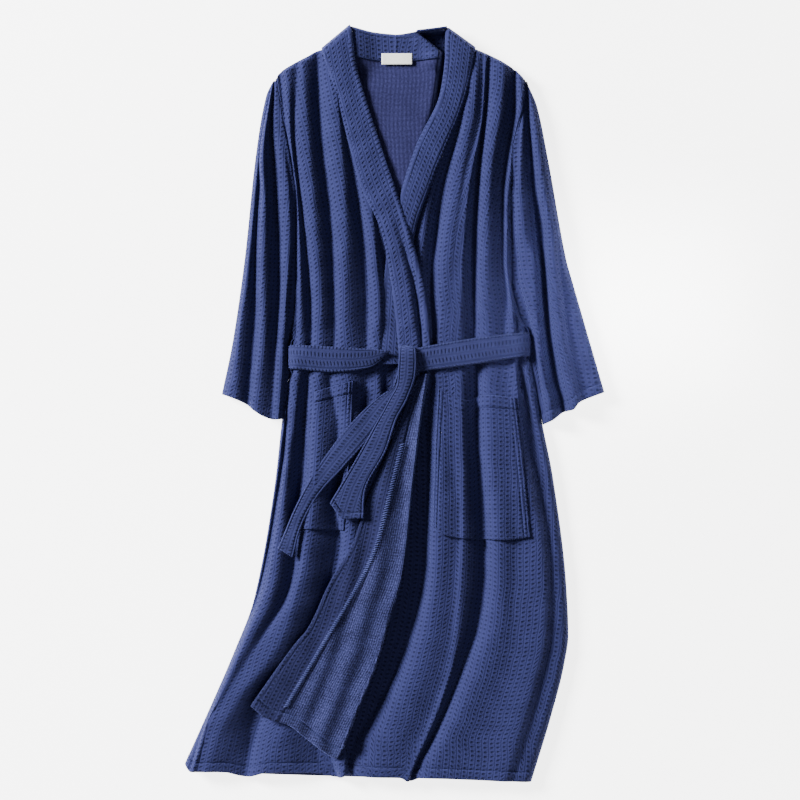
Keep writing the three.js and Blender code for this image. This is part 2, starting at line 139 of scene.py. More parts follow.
# ---- Folded cloth --------------------------------------------------------------------------------
class Pleats:
    """Cloth in lengthwise folds. lines run down the cloth, ordered along +X: each is a kind and its
    points (x, y, z). Kinds: "v" the bottom of a fold, "r" its crest, "e" an edge."""

    def __init__(self, lines, steep=2.6, gentle=1.4, floor=0.9):
        self.kinds = [kind for kind, _ in lines]
        self.lines = [np.array(sorted(points, key=lambda p: p[1]), float) for _, points in lines]
        self.steep = steep          # how sharply a fold rises on its -X side
        self.gentle = gentle        # and how slowly it falls on its +X side
        self.floor = floor          # the share of that side that is above the fold's bottom

    def height(self, x, y):
        x, y = np.asarray(x, float), np.asarray(y, float)
        crossings = [(smooth(p[:, 1], p[:, 0], y), smooth(p[:, 1], p[:, 2], y)) for p in self.lines]
        z = crossings[0][1] + 0 * x
        for k in range(len(crossings) - 1):
            (x0, z0), (x1, z1) = crossings[k], crossings[k + 1]
            t = np.clip((x - x0) / np.maximum(x1 - x0, 0.5), 0, 1)
            z = np.where(x >= x0, self.rise(k, z0, z1, t), z)
        return np.maximum(FOLD_MIDDLE + (z - FOLD_MIDDLE) * FOLD_DEPTH, FOLD_BOTTOM)

    def rise(self, k, z0, z1, t):
        """The height between line k and the next: steep at the bottom of a fold, round at its crest."""
        even = (1 - np.cos(math.pi * t)) / 2
        sharp = even
        if self.kinds[k] != "r" and self.kinds[k + 1] == "r":
            sharp = 1 - (1 - t) ** self.steep
        if self.kinds[k] == "r" and self.kinds[k + 1] != "r":
            sharp = np.clip(t / self.floor, 0, 1) ** self.gentle
        share = np.clip((np.abs(z1 - z0) - 2) / 6, 0, 1)
        return z0 + (z1 - z0) * (share * sharp + (1 - share) * even)


def places(length, step, from_start=(), from_end=()):
    """Shares from 0 to 1, evenly spaced, with extra ones at distances from either end."""
    even = np.linspace(0, 1, max(3, int(round(length / step))) + 1)
    extra = [d / length for d in from_start] + [1 - d / length for d in from_end]
    kept = [0.0]
    for share in sorted(list(even) + extra):
        if share - kept[-1] > 0.55 / length and share < 1 - 0.3 / length:
            kept.append(share)
    return np.array(kept + [1.0])


HEM_ROWS = (0.8, 1.8, 3.0, HEM - 3, HEM - 1.4, HEM - 0.6, HEM, HEM + 0.6, HEM + 1.4, HEM + 3)
EDGE_COLUMNS = (0.5, 1.4, 2.6, 3.6, 4.6, 6.0, 7.2, 8.1, 9.0, 9.9)


def hem_shape(distance, depth=HEM):
    """The extra height of a turned hem at a distance from its edge: thicker, with a sewn groove."""
    thick = 1.0 * (1 - ease((distance - depth + 0.8) / 1.8))
    groove = -1.9 * hump(distance, depth, 1.2)
    fall = -1.6 * (1 - rounded(distance, 3.0))
    return thick + groove + fall


class Patch:
    """A sheet between four edges, each a list of points, with height(x, y) for its surface."""

    def __init__(self, top, bottom, left, right, height, step=None, hem=None, top_hem=None):
        step_u, step_v = step or (COLUMN_STEP, ROW_STEP)
        tall = (span(left) + span(right)) / 2
        wide = max(span(top), span(bottom))
        rows = tuple(d - HEM + hem for d in HEM_ROWS if d > 5) + HEM_ROWS[:3] if hem else (1.5, 3)
        heads = tuple(d - HEM + top_hem for d in HEM_ROWS if d > 5) + HEM_ROWS[:3] if top_hem else ()
        self.v = places(tall, step_v, heads, rows)
        self.u = places(wide, step_u, EDGE_COLUMNS, EDGE_COLUMNS)
        a, b = along(left, self.v)[:, None], along(right, self.v)[:, None]
        c, d = along(top, self.u)[None], along(bottom, self.u)[None]
        u, v = self.u[None, :, None], self.v[:, None, None]
        corners = (
            (1 - u) * (1 - v) * c[:, :1] + u * (1 - v) * c[:, -1:]
            + (1 - u) * v * d[:, :1] + u * v * d[:, -1:])
        plan = (1 - u) * a + u * b + (1 - v) * c + v * d - corners
        self.x, self.y = plan[:, :, 0], plan[:, :, 1]
        self.z = height(self.x, self.y) + 0 * self.x
        width = np.linalg.norm((b - a)[:, 0], axis=1)[:, None]
        self.from_left = self.u[None] * width
        self.from_right = (1 - self.u[None]) * width
        self.from_top = self.v[:, None] * tall + 0 * self.x
        self.from_bottom = (1 - self.v[:, None]) * tall + 0 * self.x
        if hem:
            self.z += hem_shape(self.from_bottom, hem)
        if top_hem:
            self.z += hem_shape(self.from_top, top_hem)

    def lower(self, distance, radius, level, share=1.0):
        """Rounds the sheet down towards a level at one edge."""
        down = (1 - rounded(distance, radius)) * share
        self.z += (np.minimum(level, self.z) - self.z) * down

    def groove(self, distance, at, depth=1.2, width=1.0):
        self.z -= depth * hump(distance, at, width)

    def grid(self):
        return np.stack([self.x, self.y, self.z], 2)

    def run(self, distance, at, lift=0.0):
        """The surface line at a distance from one edge."""
        grid = self.grid()
        if distance is self.from_top or distance is self.from_bottom:
            row = int(np.argmin(np.abs(distance[:, 0] - at)))
            line = grid[row]
        else:
            line = []
            for r in range(len(self.v)):
                order = np.argsort(distance[r])
                line.append([np.interp(at, distance[r][order], grid[r, order, k]) for k in range(3)])
            line = np.array(line)
        return line + np.array([0, 0, lift])


def cloth_uv(grid, middle=0.5):
    """Places in the cloth for each grid point, measured along it, so the weave isn't stretched."""
    step = np.linalg.norm(np.diff(grid, axis=1), axis=2)
    run = np.concatenate([np.zeros((len(grid), 1)), np.cumsum(step, 1)], 1)
    mid = int(middle * (grid.shape[1] - 1))
    across = run - run[:, mid:mid + 1]
    down = np.linalg.norm(np.diff(grid, axis=0), axis=2)
    fall = np.concatenate([np.zeros((1, grid.shape[1])), np.cumsum(down, 0)], 0)
    return np.stack([across, -fall], 2)


# ---- Meshes --------------------------------------------------------------------------------------
def mesh_object(name, points, faces, uv, material):
    mesh = bpy.data.meshes.new(name)
    mesh.from_pydata((np.asarray(points) * MM).tolist(), [], faces)
    layer = mesh.uv_layers.new(name="cloth")
    corner = np.zeros(len(mesh.loops), np.int32)
    mesh.loops.foreach_get("vertex_index", corner)
    layer.data.foreach_set("uv", (np.asarray(uv)[corner] * MM).astype(np.float32).ravel())
    mesh.polygons.foreach_set("use_smooth", np.ones(len(mesh.polygons), bool))
    mesh.materials.append(material)
    mesh.update()
    piece = bpy.data.objects.new(name, mesh)
    bpy.context.scene.collection.objects.link(piece)
    return piece


def grid_faces(rows, columns):
    return [
        (r * columns + c, (r + 1) * columns + c, (r + 1) * columns + c + 1, r * columns + c + 1)
        for r in range(rows - 1) for c in range(columns - 1)]


def sheet_piece(name, grid, material, thickness=CLOTH, uv=None):
    """A sheet with thickness below its upper surface."""
    rows, columns = grid.shape[:2]
    uv = cloth_uv(grid) if uv is None else uv
    piece = mesh_object(name, grid.reshape(-1, 3), grid_faces(rows, columns), uv.reshape(-1, 2), material)
    shell = piece.modifiers.new("thickness", "SOLIDIFY")
    shell.thickness = thickness * MM
    shell.offset = -1
    bpy.context.view_layer.update()
    mesh = bpy.data.meshes.new_from_object(piece.evaluated_get(bpy.context.evaluated_depsgraph_get()))
    piece.modifiers.clear()
    piece.data = mesh
    return piece


def stitch_piece(name, runs, material, length=2.6, gap=1.1, radius=0.34):
    """Sewing thread along runs of surface points: one small rounded bar for each stitch."""
    points, faces = [], []
    for run in runs:
        run = np.asarray(run, float)
        distance = np.concatenate([[0], np.cumsum(np.linalg.norm(np.diff(run, axis=0), axis=1))])
        for i in range(int(distance[-1] // (length + gap))):
            begin = i * (length + gap)
            a, b = (
                np.array([np.interp(s, distance, run[:, k]) for k in range(3)])
                for s in (begin, begin + length))
            forward = (b - a) / max(np.linalg.norm(b - a), 1e-6)
            side = np.cross(forward, (0, 0, 1.0))
            side /= max(np.linalg.norm(side), 1e-6)
            up = np.cross(side, forward)
            start = len(points)
            for share, size in ((0, 0.35), (0.25, 1), (0.75, 1), (1, 0.35)):
                centre = a + (b - a) * share + up * radius * (0.1 + 0.5 * size)
                for corner in range(5):
                    angle = 2 * math.pi * corner / 5
                    points.append(centre + radius * size * (side * math.cos(angle) + up * math.sin(angle)))
            for ring in range(3):
                for corner in range(5):
                    q = start + ring * 5 + corner
                    r = start + ring * 5 + (corner + 1) % 5
                    faces.append((q, r, r + 5, q + 5))
            faces.append(tuple(start + corner for corner in reversed(range(5))))
            faces.append(tuple(start + 15 + corner for corner in range(5)))
    points = np.array(points)
    return mesh_object(name, points, faces, points[:, :2], material)


# ---- Materials -----------------------------------------------------------------------------------
class Nodes:
    """Small helpers that build one material's nodes."""

    def __init__(self, name, roughness, sheen):
        self.material = bpy.data.materials.new(name)
        self.material.use_nodes = True
        self.tree = self.material.node_tree
        self.shader = self.tree.nodes["Principled BSDF"]
        self.shader.inputs["Roughness"].default_value = roughness
        self.shader.inputs["Specular IOR Level"].default_value = 0.12
        self.shader.inputs["Sheen Weight"].default_value = sheen
        self.shader.inputs["Sheen Roughness"].default_value = 0.45
        self.shader.inputs["Sheen Tint"].default_value = (0.25, 0.30, 0.85, 1)
        uv = self.tree.nodes.new("ShaderNodeUVMap")
        uv.uv_map = "cloth"
        split = self.tree.nodes.new("ShaderNodeSeparateXYZ")
        self.tree.links.new(uv.outputs[0], split.inputs[0])
        self.place = uv.outputs[0]
        self.u, self.v = split.outputs[0], split.outputs[1]

    def math(self, operation, a, b=None, c=None):
        node = self.tree.nodes.new("ShaderNodeMath")
        node.operation = operation
        for socket, value in zip(node.inputs, (a, b, c)):
            if value is None:
                continue
            if isinstance(value, (int, float)):
                socket.default_value = value
            else:
                self.tree.links.new(value, socket)
        return node.outputs[0]

    def wave(self, coordinate, pitch, phase=0.0):
        """A cosine along a coordinate, from 0 to 1, with its crest at whole pitches."""
        turned = self.math("MULTIPLY_ADD", coordinate, 2 * math.pi / (pitch * MM), phase)
        return self.math("MULTIPLY_ADD", self.math("COSINE", turned), 0.5, 0.5)

    def noise(self, size, detail=3.0):
        node = self.tree.nodes.new("ShaderNodeTexNoise")
        node.inputs["Scale"].default_value = 1 / (size * MM)
        node.inputs["Detail"].default_value = detail
        self.tree.links.new(self.place, node.inputs["Vector"])
        return node.outputs["Fac"]

    def mix(self, share, dark, light):
        node = self.tree.nodes.new("ShaderNodeMix")
        node.data_type = "RGBA"
        self.tree.links.new(share, node.inputs["Factor"])
        node.inputs["A"].default_value = (*dark, 1)
        node.inputs["B"].default_value = (*light, 1)
        return node.outputs["Result"]

    def finish(self, colour, height, depth, strength=1.0):
        bump = self.tree.nodes.new("ShaderNodeBump")
        bump.inputs["Strength"].default_value = strength
        bump.inputs["Distance"].default_value = depth * MM
        self.tree.links.new(height, bump.inputs["Height"])
        self.tree.links.new(bump.outputs[0], self.shader.inputs["Normal"])
        self.tree.links.new(colour, self.shader.inputs["Base Color"])
        return self.material


def waffle(name, dark, light, cell=CELL, depth=1.3, aside=0.0):
    """Waffle weave: raised squares of thread round small sunk pits; aside shifts its columns."""
    n = Nodes(name, 0.9, 0.15)
    wander = n.math("MULTIPLY", n.math("SUBTRACT", n.noise(40), 0.5), 3.5 * MM)
    u, v = n.math("ADD", n.u, wander), n.math("ADD", n.v, wander)
    pit = n.math("MULTIPLY", n.math("POWER", n.wave(u, cell[0], aside), 0.7), n.wave(v, cell[1], math.pi))
    pit = n.math("MINIMUM", n.math("MAXIMUM", n.math("MULTIPLY_ADD", pit, 1.9, -0.70), 0.0), 1.0)
    column = n.math("POWER", n.wave(u, cell[0], math.pi + aside), 6.0)
    ridge = n.math("SUBTRACT", n.math("MULTIPLY_ADD", column, -0.35, 1.0), pit)
    threads = n.math("MULTIPLY", n.wave(n.u, 1.05), n.wave(n.v, 0.9))
    fuzz = n.noise(1.3, 4.0)
    uneven = n.noise(22, 3.0)
    height = n.math("MULTIPLY_ADD", threads, 0.16, ridge)
    height = n.math("MULTIPLY_ADD", fuzz, 0.22, height)
    # The colour follows the weave's height: darker in the pits and lighter on the raised squares and
    # threads, which is painted shade and painted highlight; the noises add tone that differs at random.
    share = n.math("MULTIPLY_ADD", ridge, 0.46, 0.12)
    share = n.math("MULTIPLY_ADD", uneven, 0.34, share)
    share = n.math("MULTIPLY_ADD", fuzz, 0.34, share)
    share = n.math("MULTIPLY_ADD", threads, 0.10, share)
    share = n.math("SUBTRACT", share, 0.24)
    return n.finish(n.mix(share, dark, light), height, depth)


def ribbed(name, dark, light, pitch, depth=0.5, ribs=0.4):
    """The wrong side of the cloth, or a plain tape: fine ribs along the cloth and a soft grain."""
    n = Nodes(name, 0.92, 0.3)
    wander = n.math("MULTIPLY", n.math("SUBTRACT", n.noise(18), 0.5), 3.5 * MM)
    rib = n.wave(n.math("ADD", n.u, wander), pitch)
    weft = n.wave(n.math("ADD", n.v, wander), pitch * 1.3)
    dots = n.math("MULTIPLY_ADD", n.math("MULTIPLY", rib, weft), 0.6, n.math("MULTIPLY", rib, 0.4))
    grain = n.noise(2.6, 4.0)
    height = n.math("MULTIPLY_ADD", dots, ribs, n.math("MULTIPLY", grain, 1.1))
    # The colour follows the ribs' height, darker in the grooves between them: painted shade; the noise adds
    # tone that differs at random.
    share = n.math("MULTIPLY_ADD", n.noise(28), 0.4, n.math("MULTIPLY_ADD", grain, 1.3, -0.75))
    return n.finish(n.mix(n.math("MULTIPLY_ADD", dots, ribs, share), dark, light), height, depth)


cloth = waffle("waffle_cloth_face", (0.0035, 0.0040, 0.018), (0.0250, 0.0285, 0.104))
wrong_side = ribbed("waffle_cloth_wrong_side", (0.0035, 0.004, 0.018), (0.058, 0.066, 0.200), 3.4, 0.9)
# A darker copy of the face cloth for the band part of the turned-back edge: painted shade, as that part lies
# angled away from the light.
band_cloth_painted_shade = waffle("collar_band_painted_shade", (0.0025, 0.0030, 0.014), (0.0150, 0.0170, 0.064))
back_lining = ribbed("waffle_cloth_inside", (0.009, 0.009, 0.038), (0.032, 0.033, 0.110), 6.2, 0.5)
belt_cloth = waffle(
    "belt_cloth", (0.0035, 0.0040, 0.018), (0.0245, 0.0280, 0.098), BELT_CELL, 1.1, aside=math.pi)
thread = ribbed("sewing_thread", (0.005, 0.006, 0.026), (0.024, 0.028, 0.092), 0.8, 0.1)
overlock_thread = ribbed("overlock_thread", (0.020, 0.024, 0.080), (0.100, 0.115, 0.31), 0.8, 0.1)
tape = ribbed("label_tape", (0.62, 0.62, 0.60), (0.86, 0.86, 0.84), 0.9, 0.12)


# ---- The robe's edges ----------------------------------------------------------------------------
RIGHT_SHOULDER = [(-179, 487), (-172, 498), (-142, 517), (-107, 534)]
LEFT_SHOULDER = [(119, 535), (144, 524), (167, 512), (193, 491), (196, 486)]
RIGHT_ARMHOLE = [(-179, 487), (-169, 423), (-160, 375), (-151, 305)]
LEFT_ARMHOLE = [(196, 486), (198, 455), (188, 420), (179, 377), (177, 305)]
RIGHT_SIDE = [
    (-151, 305), (-150, 200), (-153, 130), (-157, 108), (-155, 92), (-155, 50), (-160, 36), (-163, 15),
    (-168, -12), (-181, -124), (-212, -294), (-241, -371), (-280, -461), (-316, -541)]
LEFT_SIDE = [
    (177, 305), (177, 188), (190, 130), (199, 112), (199, 74), (207, 58), (223, -31), (239, -112),
    (259, -275), (262, -347), (256, -390), (235, -473), (206, -568)]
RIGHT_HEM = [
    (-316, -541), (-306, -552), (-262, -552), (-222, -560), (-190, -553), (-120, -555), (-84, -561),
    (-68, -555)]
LEFT_HEM = [
    (-110, -552), (-71, -557), (-30, -560), (8, -561), (22, -567), (40, -561), (120, -564), (206, -568)]
RIGHT_FRONT_EDGE = [
    (-107, 534), (-83, 458), (-64, 383), (-50, 333), (-18, 262), (-5, 201), (8, 92), (30, 64), (44, 20),
    (40, -26), (29, -112), (13, -248), (-7, -317), (-26, -383), (-50, -442), (-74, -504), (-68, -555)]
LEFT_FRONT_EDGE = [
    (119, 535), (107, 471), (78, 393), (54, 335), (28, 258), (17, 171), (8, 92), (5, 20), (-5, -112),
    (-20, -248), (-40, -317), (-62, -383), (-86, -442), (-110, -504), (-110, -552)]
RIGHT_BAND_IN = [
    (-66, 568), (-62, 522), (-50, 477), (-26, 402), (8, 300), (31, 225), (43, 177), (53, 92), (54, 56)]
RIGHT_BAND_SEAM = [
    (-107, 534), (-83, 458), (-64, 383), (-50, 333), (-18, 262), (-5, 201), (4, 130), (8, 92), (10, 56)]
LEFT_BAND_IN = [(79, 564), (78, 519), (71, 467), (35, 388), (8, 305), (-12, 216), (-26, 60)]
LEFT_BAND_SEAM = [(119, 535), (107, 471), (78, 393), (54, 335), (28, 258), (17, 171), (10, 60)]
RIGHT_SLEEVE_OUT = [(-179, 487), (-193, 465), (-208, 381), (-226, 216), (-244, 92), (-260, 15)]
RIGHT_SLEEVE_IN = [
    (-149, 303), (-149, 200), (-151.5, 130), (-157, 108), (-159.4, 96), (-159.4, 50), (-160.2, 32),
    (-165, -22)]
RIGHT_CUFF = [(-260, 15), (-240, 8), (-222, -1), (-211, -10), (-196, -19), (-182, -23), (-166, -22)]
LEFT_SLEEVE_OUT = [(196, 486), (214, 450), (231, 369), (259, 216), (268, 184), (316, 18)]
LEFT_SLEEVE_IN = [
    (175, 303), (176, 188), (189, 130), (198, 114), (202.6, 104), (202.6, 72), (206, 54), (223, -31)]
LEFT_CUFF = [(316, 18), (297, 11), (278, 2), (270, -8), (257, -12), (240, -24), (226, -31)]
FOLD_LINE = [(52, 46), (40, -26), (29, -112), (13, -248), (-7, -317), (-26, -383), (-50, -442), (-74, -504)]
TURN_BACK_EDGE = [
    (33, 40), (8, -24), (-9, -66), (-39, -136), (-62, -206), (-98, -268), (-131, -337), (-148, -357),
    (-203, -433), (-216, -452)]
TURN_BACK_SEAM = [
    (38, 42), (14, -60), (-8, -150), (-27, -218), (-62, -288), (-98, -348), (-160, -452), (-178, -480)]
TURN_BACK_HEM = [(-216, -452), (-193, -470), (-160, -481), (-124, -508), (-88, -531), (-74, -504)]
RIGHT_POCKET = {
    "top": [(-120, 19), (-86, 29), (-61, 36)],
    "bottom": [(-137, -187), (-105, -189), (-76, -190)],
    "left": [(-120, 19), (-130, -80), (-137, -187)],
    "right": [(-61, 36), (-67, -80), (-76, -190)]}
LEFT_POCKET = {
    "top": [(65, 23), (78, 17), (111, 6), (133, 14), (181, 10)],
    "bottom": [(57, -181), (75, -197), (120, -203), (163, -204), (204, -200)],
    "left": [(65, 23), (60, -80), (57, -181)],
    "right": [(181, 10), (193, -89), (204, -200)]}

ARMHOLE_LAP = 2.0           # how far a sleeve's head reaches under the body

# Heights of the layers, from the surface that the robe lies on.
BACK_TOP = 3.4
NECK_RISE = 19.5            # the inside of the back, propped up by the collar behind the neck
SIDE_EDGE = 4.0             # a front's own edge at the robe's side
CHEST_CEILING = 27.0        # the highest a fold stands under the belt
FLAP = 33.0                 # the turned-back front edge
BAND_CREST = 1.6            # how far a band swells between its edges,
BAND_THICK = 3.0            # and its thickness, of two layers
NECK_EDGE = 31.0            # the collar's standing edge behind the wearer's left shoulder
HOLLOW = 4.2                # and the bottom of the deep fold inside it


# ---- The folds -----------------------------------------------------------------------------------
RIGHT_FOLDS = Pleats([
    ("e", [(-179, 500, 20), (-169, 423, 20), (-151, 305, 19), (-151, 90, 20), (-163, -7, 22),
        (-181, -124, 23), (-212, -294, 24), (-241, -371, 24), (-280, -461, 22), (-316, -560, 22)]),
    ("v", [(-172, 500, 17), (-164, 423, 17), (-147, 305, 18), (-148, 100, 18), (-159, 36, 17),
        (-163, -6, 14), (-166, -69, 13), (-172, -114, 13), (-187, -204, 14), (-196, -249, 15),
        (-208, -294, 17), (-232, -350, 20), (-272, -440, 21), (-312, -560, 21)]),
    ("r", [(-160, 500, 24), (-156, 404, 24), (-146, 305, 22), (-141, 179, 25), (-140, 104, 25),
        (-146, 36, 25), (-152, -31, 24), (-158, -69, 24), (-163, -114, 24), (-176, -249, 26),
        (-188, -294, 28), (-214, -345, 28), (-261, -435, 27), (-306, -560, 27)]),
    ("v", [(-146, 500, 20), (-152, 404, 17), (-146, 340, 15), (-139, 291, 14), (-131, 216, 14),
        (-126, 150, 14), (-125, 104, 16), (-130, 36, 14), (-136, -31, 8), (-138, -90, 8), (-145, -159, 10),
        (-151, -249, 13), (-164, -294, 16), (-192, -339, 21), (-220, -384, 24), (-249, -429, 25),
        (-279, -474, 25), (-298, -560, 25)]),
    ("r", [(-137, 500, 24), (-130, 404, 26), (-124, 329, 27), (-115, 216, 27), (-110, 141, 27),
        (-111, 70, 26), (-115, 6, 26), (-113, -50, 27), (-121, -130, 29), (-130, -220, 29),
        (-145, -280, 30), (-165, -339, 29), (-190, -384, 28), (-227, -429, 28), (-262, -490, 27),
        (-285, -560, 27)]),
    ("v", [(-115, 545, 19), (-114, 471, 12), (-108, 380, 13), (-98, 300, 13), (-92, 216, 14),
        (-89, 104, 17), (-96, 36, 18), (-84, -31, 17), (-83, -114, 14), (-88, -159, 11), (-82, -204, 10),
        (-88, -249, 10), (-110, -310, 12), (-146, -384, 12), (-186, -429, 11), (-206, -480, 9),
        (-212, -511, 10), (-222, -560, 14)]),
    ("r", [(-96, 545, 24), (-84, 440, 28), (-78, 350, 28), (-73, 254, 28), (-73, 104, 26), (-70, 30, 26),
        (-60, -31, 27), (-65, -80, 28), (-68, -150, 28), (-62, -220, 28), (-76, -294, 27), (-95, -384, 24),
        (-115, -440, 21), (-160, -480, 22), (-176, -510, 26), (-190, -560, 27)]),
    ("v", [(-90, 545, 22), (-72, 400, 21), (-61, 350, 18), (-52, 291, 12), (-44, 229, 12), (-40, 150, 14),
        (-40, 60, 14), (-42, 6, 12), (-41, -31, 17), (-50, -80, 20), (-50, -150, 22), (-45, -250, 22),
        (-60, -350, 22), (-75, -440, 18), (-98, -500, 8), (-98, -530, 7), (-86, -560, 12)]),
    ("r", [(-80, 545, 24), (-56, 380, 24), (-34, 291, 26), (-28, 216, 27), (-23, 141, 27), (-25, 104, 28),
        (-24, 84, 26), (-25, 55, 18), (-22, 6, 17), (-15, -60, 27), (-20, -150, 26), (-20, -250, 26),
        (-45, -350, 26), (-66, -450, 26), (-76, -560, 27)]),
    ("v", [(-70, 545, 24), (-46, 360, 24), (-26, 270, 22), (-15, 216, 16), (-8, 165, 14), (-1, 104, 8),
        (-9, 50, 8), (-8, 10, 9), (0, -60, 22), (0, -150, 24), (-5, -250, 24), (-32, -350, 24),
        (-60, -460, 24), (-72, -560, 24)]),
    ("e", [(-60, 545, 25), (-10, 300, 25), (10, 180, 26), (20, 60, 26), (30, 0, 26), (29, -112, 27),
        (13, -248, 27), (-26, -383, 27), (-68, -560, 27)]),
])

LEFT_FOLDS = Pleats([
    ("e", [(20, 545, 24), (20, 340, 22), (10, 254, 19), (0, 100, 16), (0, 20, 10), (-5, -112, 9),
        (-20, -248, 9), (-60, -383, 9), (-110, -504, 9), (-115, -575, 9)]),
    ("v", [(90, 545, 24), (86, 440, 24), (60, 360, 21), (38, 291, 20), (31, 254, 18), (26, 179, 18),
        (33, 141, 16), (40, 104, 13), (30, 36, 12), (36, -20, 9), (38, -112, 7), (36, -204, 7),
        (34, -249, 7), (27, -294, 7), (15, -339, 7), (-2, -384, 7), (-24, -429, 7), (-50, -474, 8),
        (-72, -511, 8), (-84, -575, 10)]),
    ("r", [(98, 545, 25), (92, 460, 25), (66, 366, 25), (48, 291, 25), (43, 254, 25), (39, 200, 25),
        (46, 141, 25), (51, 104, 24), (44, 36, 21), (44, -31, 11), (45, -114, 9), (43, -204, 9),
        (41, -260, 9), (33, -294, 9), (21, -339, 9), (4, -384, 9), (-18, -429, 9), (-44, -474, 10),
        (-67, -511, 10), (-80, -575, 13)]),
    ("v", [(112, 545, 22), (104, 460, 21), (94, 404, 17), (83, 366, 15), (74, 329, 14), (68, 291, 12),
        (64, 254, 11), (59, 216, 13), (55, 170, 14), (58, 104, 16), (56, 36, 16), (51, 6, 14),
        (49, -31, 10), (49, -114, 9), (47, -204, 9), (45, -249, 9), (38, -294, 9), (26, -339, 10),
        (9, -384, 10), (-13, -429, 10), (-39, -474, 10), (-62, -511, 10), (-76, -575, 13)]),
    ("r", [(126, 545, 25), (118, 441, 28), (110, 404, 28), (97, 329, 28), (86, 254, 28), (79, 179, 27),
        (74, 104, 26), (69, 36, 26), (70, -114, 29), (68, -230, 30), (62, -294, 30), (50, -362, 30),
        (32, -429, 30), (16, -474, 29), (-4, -511, 28), (-30, -575, 27)]),
    ("v", [(134, 545, 24), (130, 441, 23), (104, 329, 26), (94, 254, 27), (88, 179, 26), (84, 104, 26),
        (84, 36, 25), (88, -60, 26), (91, -114, 25), (97, -159, 26), (92, -249, 26), (88, -310, 26),
        (85, -339, 26), (76, -400, 26), (60, -450, 25), (30, -520, 25), (10, -575, 24)]),
    ("r", [(138, 545, 25), (133, 441, 24), (112, 329, 27), (104, 254, 27), (100, 179, 26), (98, 104, 26),
        (100, 36, 26), (101, -60, 27), (103, -114, 27), (103, -200, 28), (100, -260, 28), (96, -330, 28),
        (86, -390, 27), (68, -450, 27), (40, -520, 26), (16, -575, 25)]),
    ("v", [(142, 545, 22), (137, 460, 15), (130, 404, 10), (124, 329, 9), (121, 254, 9), (121, 104, 13),
        (125, 36, 11), (125, -31, 9), (130, -114, 9), (135, -180, 10), (137, -249, 11), (133, -294, 12),
        (124, -339, 13), (107, -384, 14), (89, -429, 15), (68, -474, 14), (49, -511, 12), (31, -541, 12),
        (20, -575, 12)]),
    ("r", [(166, 530, 25), (158, 441, 28), (152, 404, 28), (144, 350, 28), (139, 254, 28), (139, 179, 27),
        (143, 104, 26), (146, 36, 27), (150, -90, 29), (157, -159, 30), (160, -240, 30), (158, -300, 30),
        (154, -339, 30), (143, -384, 29), (122, -429, 29), (98, -480, 29), (76, -520, 28), (60, -575, 28)]),
    ("v", [(182, 545, 18), (181, 441, 10), (175, 404, 9), (169, 366, 10), (164, 310, 12), (164, 216, 15),
        (170, 160, 16), (167, 104, 19), (172, 36, 24), (176, -60, 27), (178, -140, 27), (184, -204, 26),
        (181, -294, 26), (180, -350, 27), (168, -420, 26), (150, -480, 26), (120, -575, 25)]),
    ("r", [(188, 545, 24), (192, 441, 24), (188, 404, 23), (176, 350, 22), (170, 300, 21), (170, 216, 22),
        (178, 150, 23), (180, 104, 24), (184, 36, 26), (190, -60, 27), (204, -140, 28), (218, -204, 28),
        (224, -294, 28), (222, -350, 28), (206, -420, 28), (188, -480, 28), (160, -575, 27)]),
    ("v", [(192, 545, 20), (194, 441, 21), (190, 404, 20), (178, 350, 19), (172, 300, 18), (172, 216, 17),
        (180, 140, 17), (184, 90, 17), (187, 36, 13), (195, 6, 13), (205, -50, 15), (220, -114, 18),
        (235, -204, 20), (241, -294, 21), (240, -339, 21), (222, -429, 21), (200, -511, 22),
        (176, -575, 22)]),
    ("e", [(197, 545, 20), (198, 441, 20), (180, 350, 20), (177, 250, 19), (186, 126, 19), (199, 50, 20),
        (216, -31, 20), (238, -112, 21), (259, -275, 21), (262, -347, 21), (235, -473, 21),
        (206, -575, 21)]),
])

RIGHT_SLEEVE_FOLDS = Pleats([
    ("e", [(-190, 487, 14), (-208, 381, 15), (-226, 216, 15), (-244, 92, 16), (-262, 0, 20)]),
    ("r", [(-186, 487, 18), (-203, 381, 20), (-219, 216, 21), (-234, 92, 22), (-240, -10, 26)]),
    ("v", [(-184, 487, 18), (-204, 365, 18), (-203, 329, 14), (-206, 291, 13), (-209, 216, 11),
        (-209, 141, 11), (-211, 104, 11), (-217, 36, 13), (-221, -20, 18)]),
    ("r", [(-183, 487, 19), (-197, 366, 26), (-194, 300, 27), (-196, 216, 27), (-195, 120, 27),
        (-202, 36, 28), (-206, -20, 27)]),
    ("v", [(-181, 487, 16), (-187, 420, 10), (-182, 366, 9), (-178, 291, 9), (-174, 235, 10),
        (-173, 179, 11), (-176, 120, 13), (-181, 36, 19), (-184, -30, 21)]),
    ("r", [(-179, 487, 18), (-172, 404, 20), (-160, 329, 24), (-156, 260, 25), (-160, 180, 25),
        (-164, 104, 26), (-171, 20, 26), (-175, -30, 26)]),
    ("e", [(-178, 487, 18), (-165, 404, 20), (-153, 303, 20), (-157, 200, 18), (-165, 100, 18),
        (-167, -30, 19)]),
])

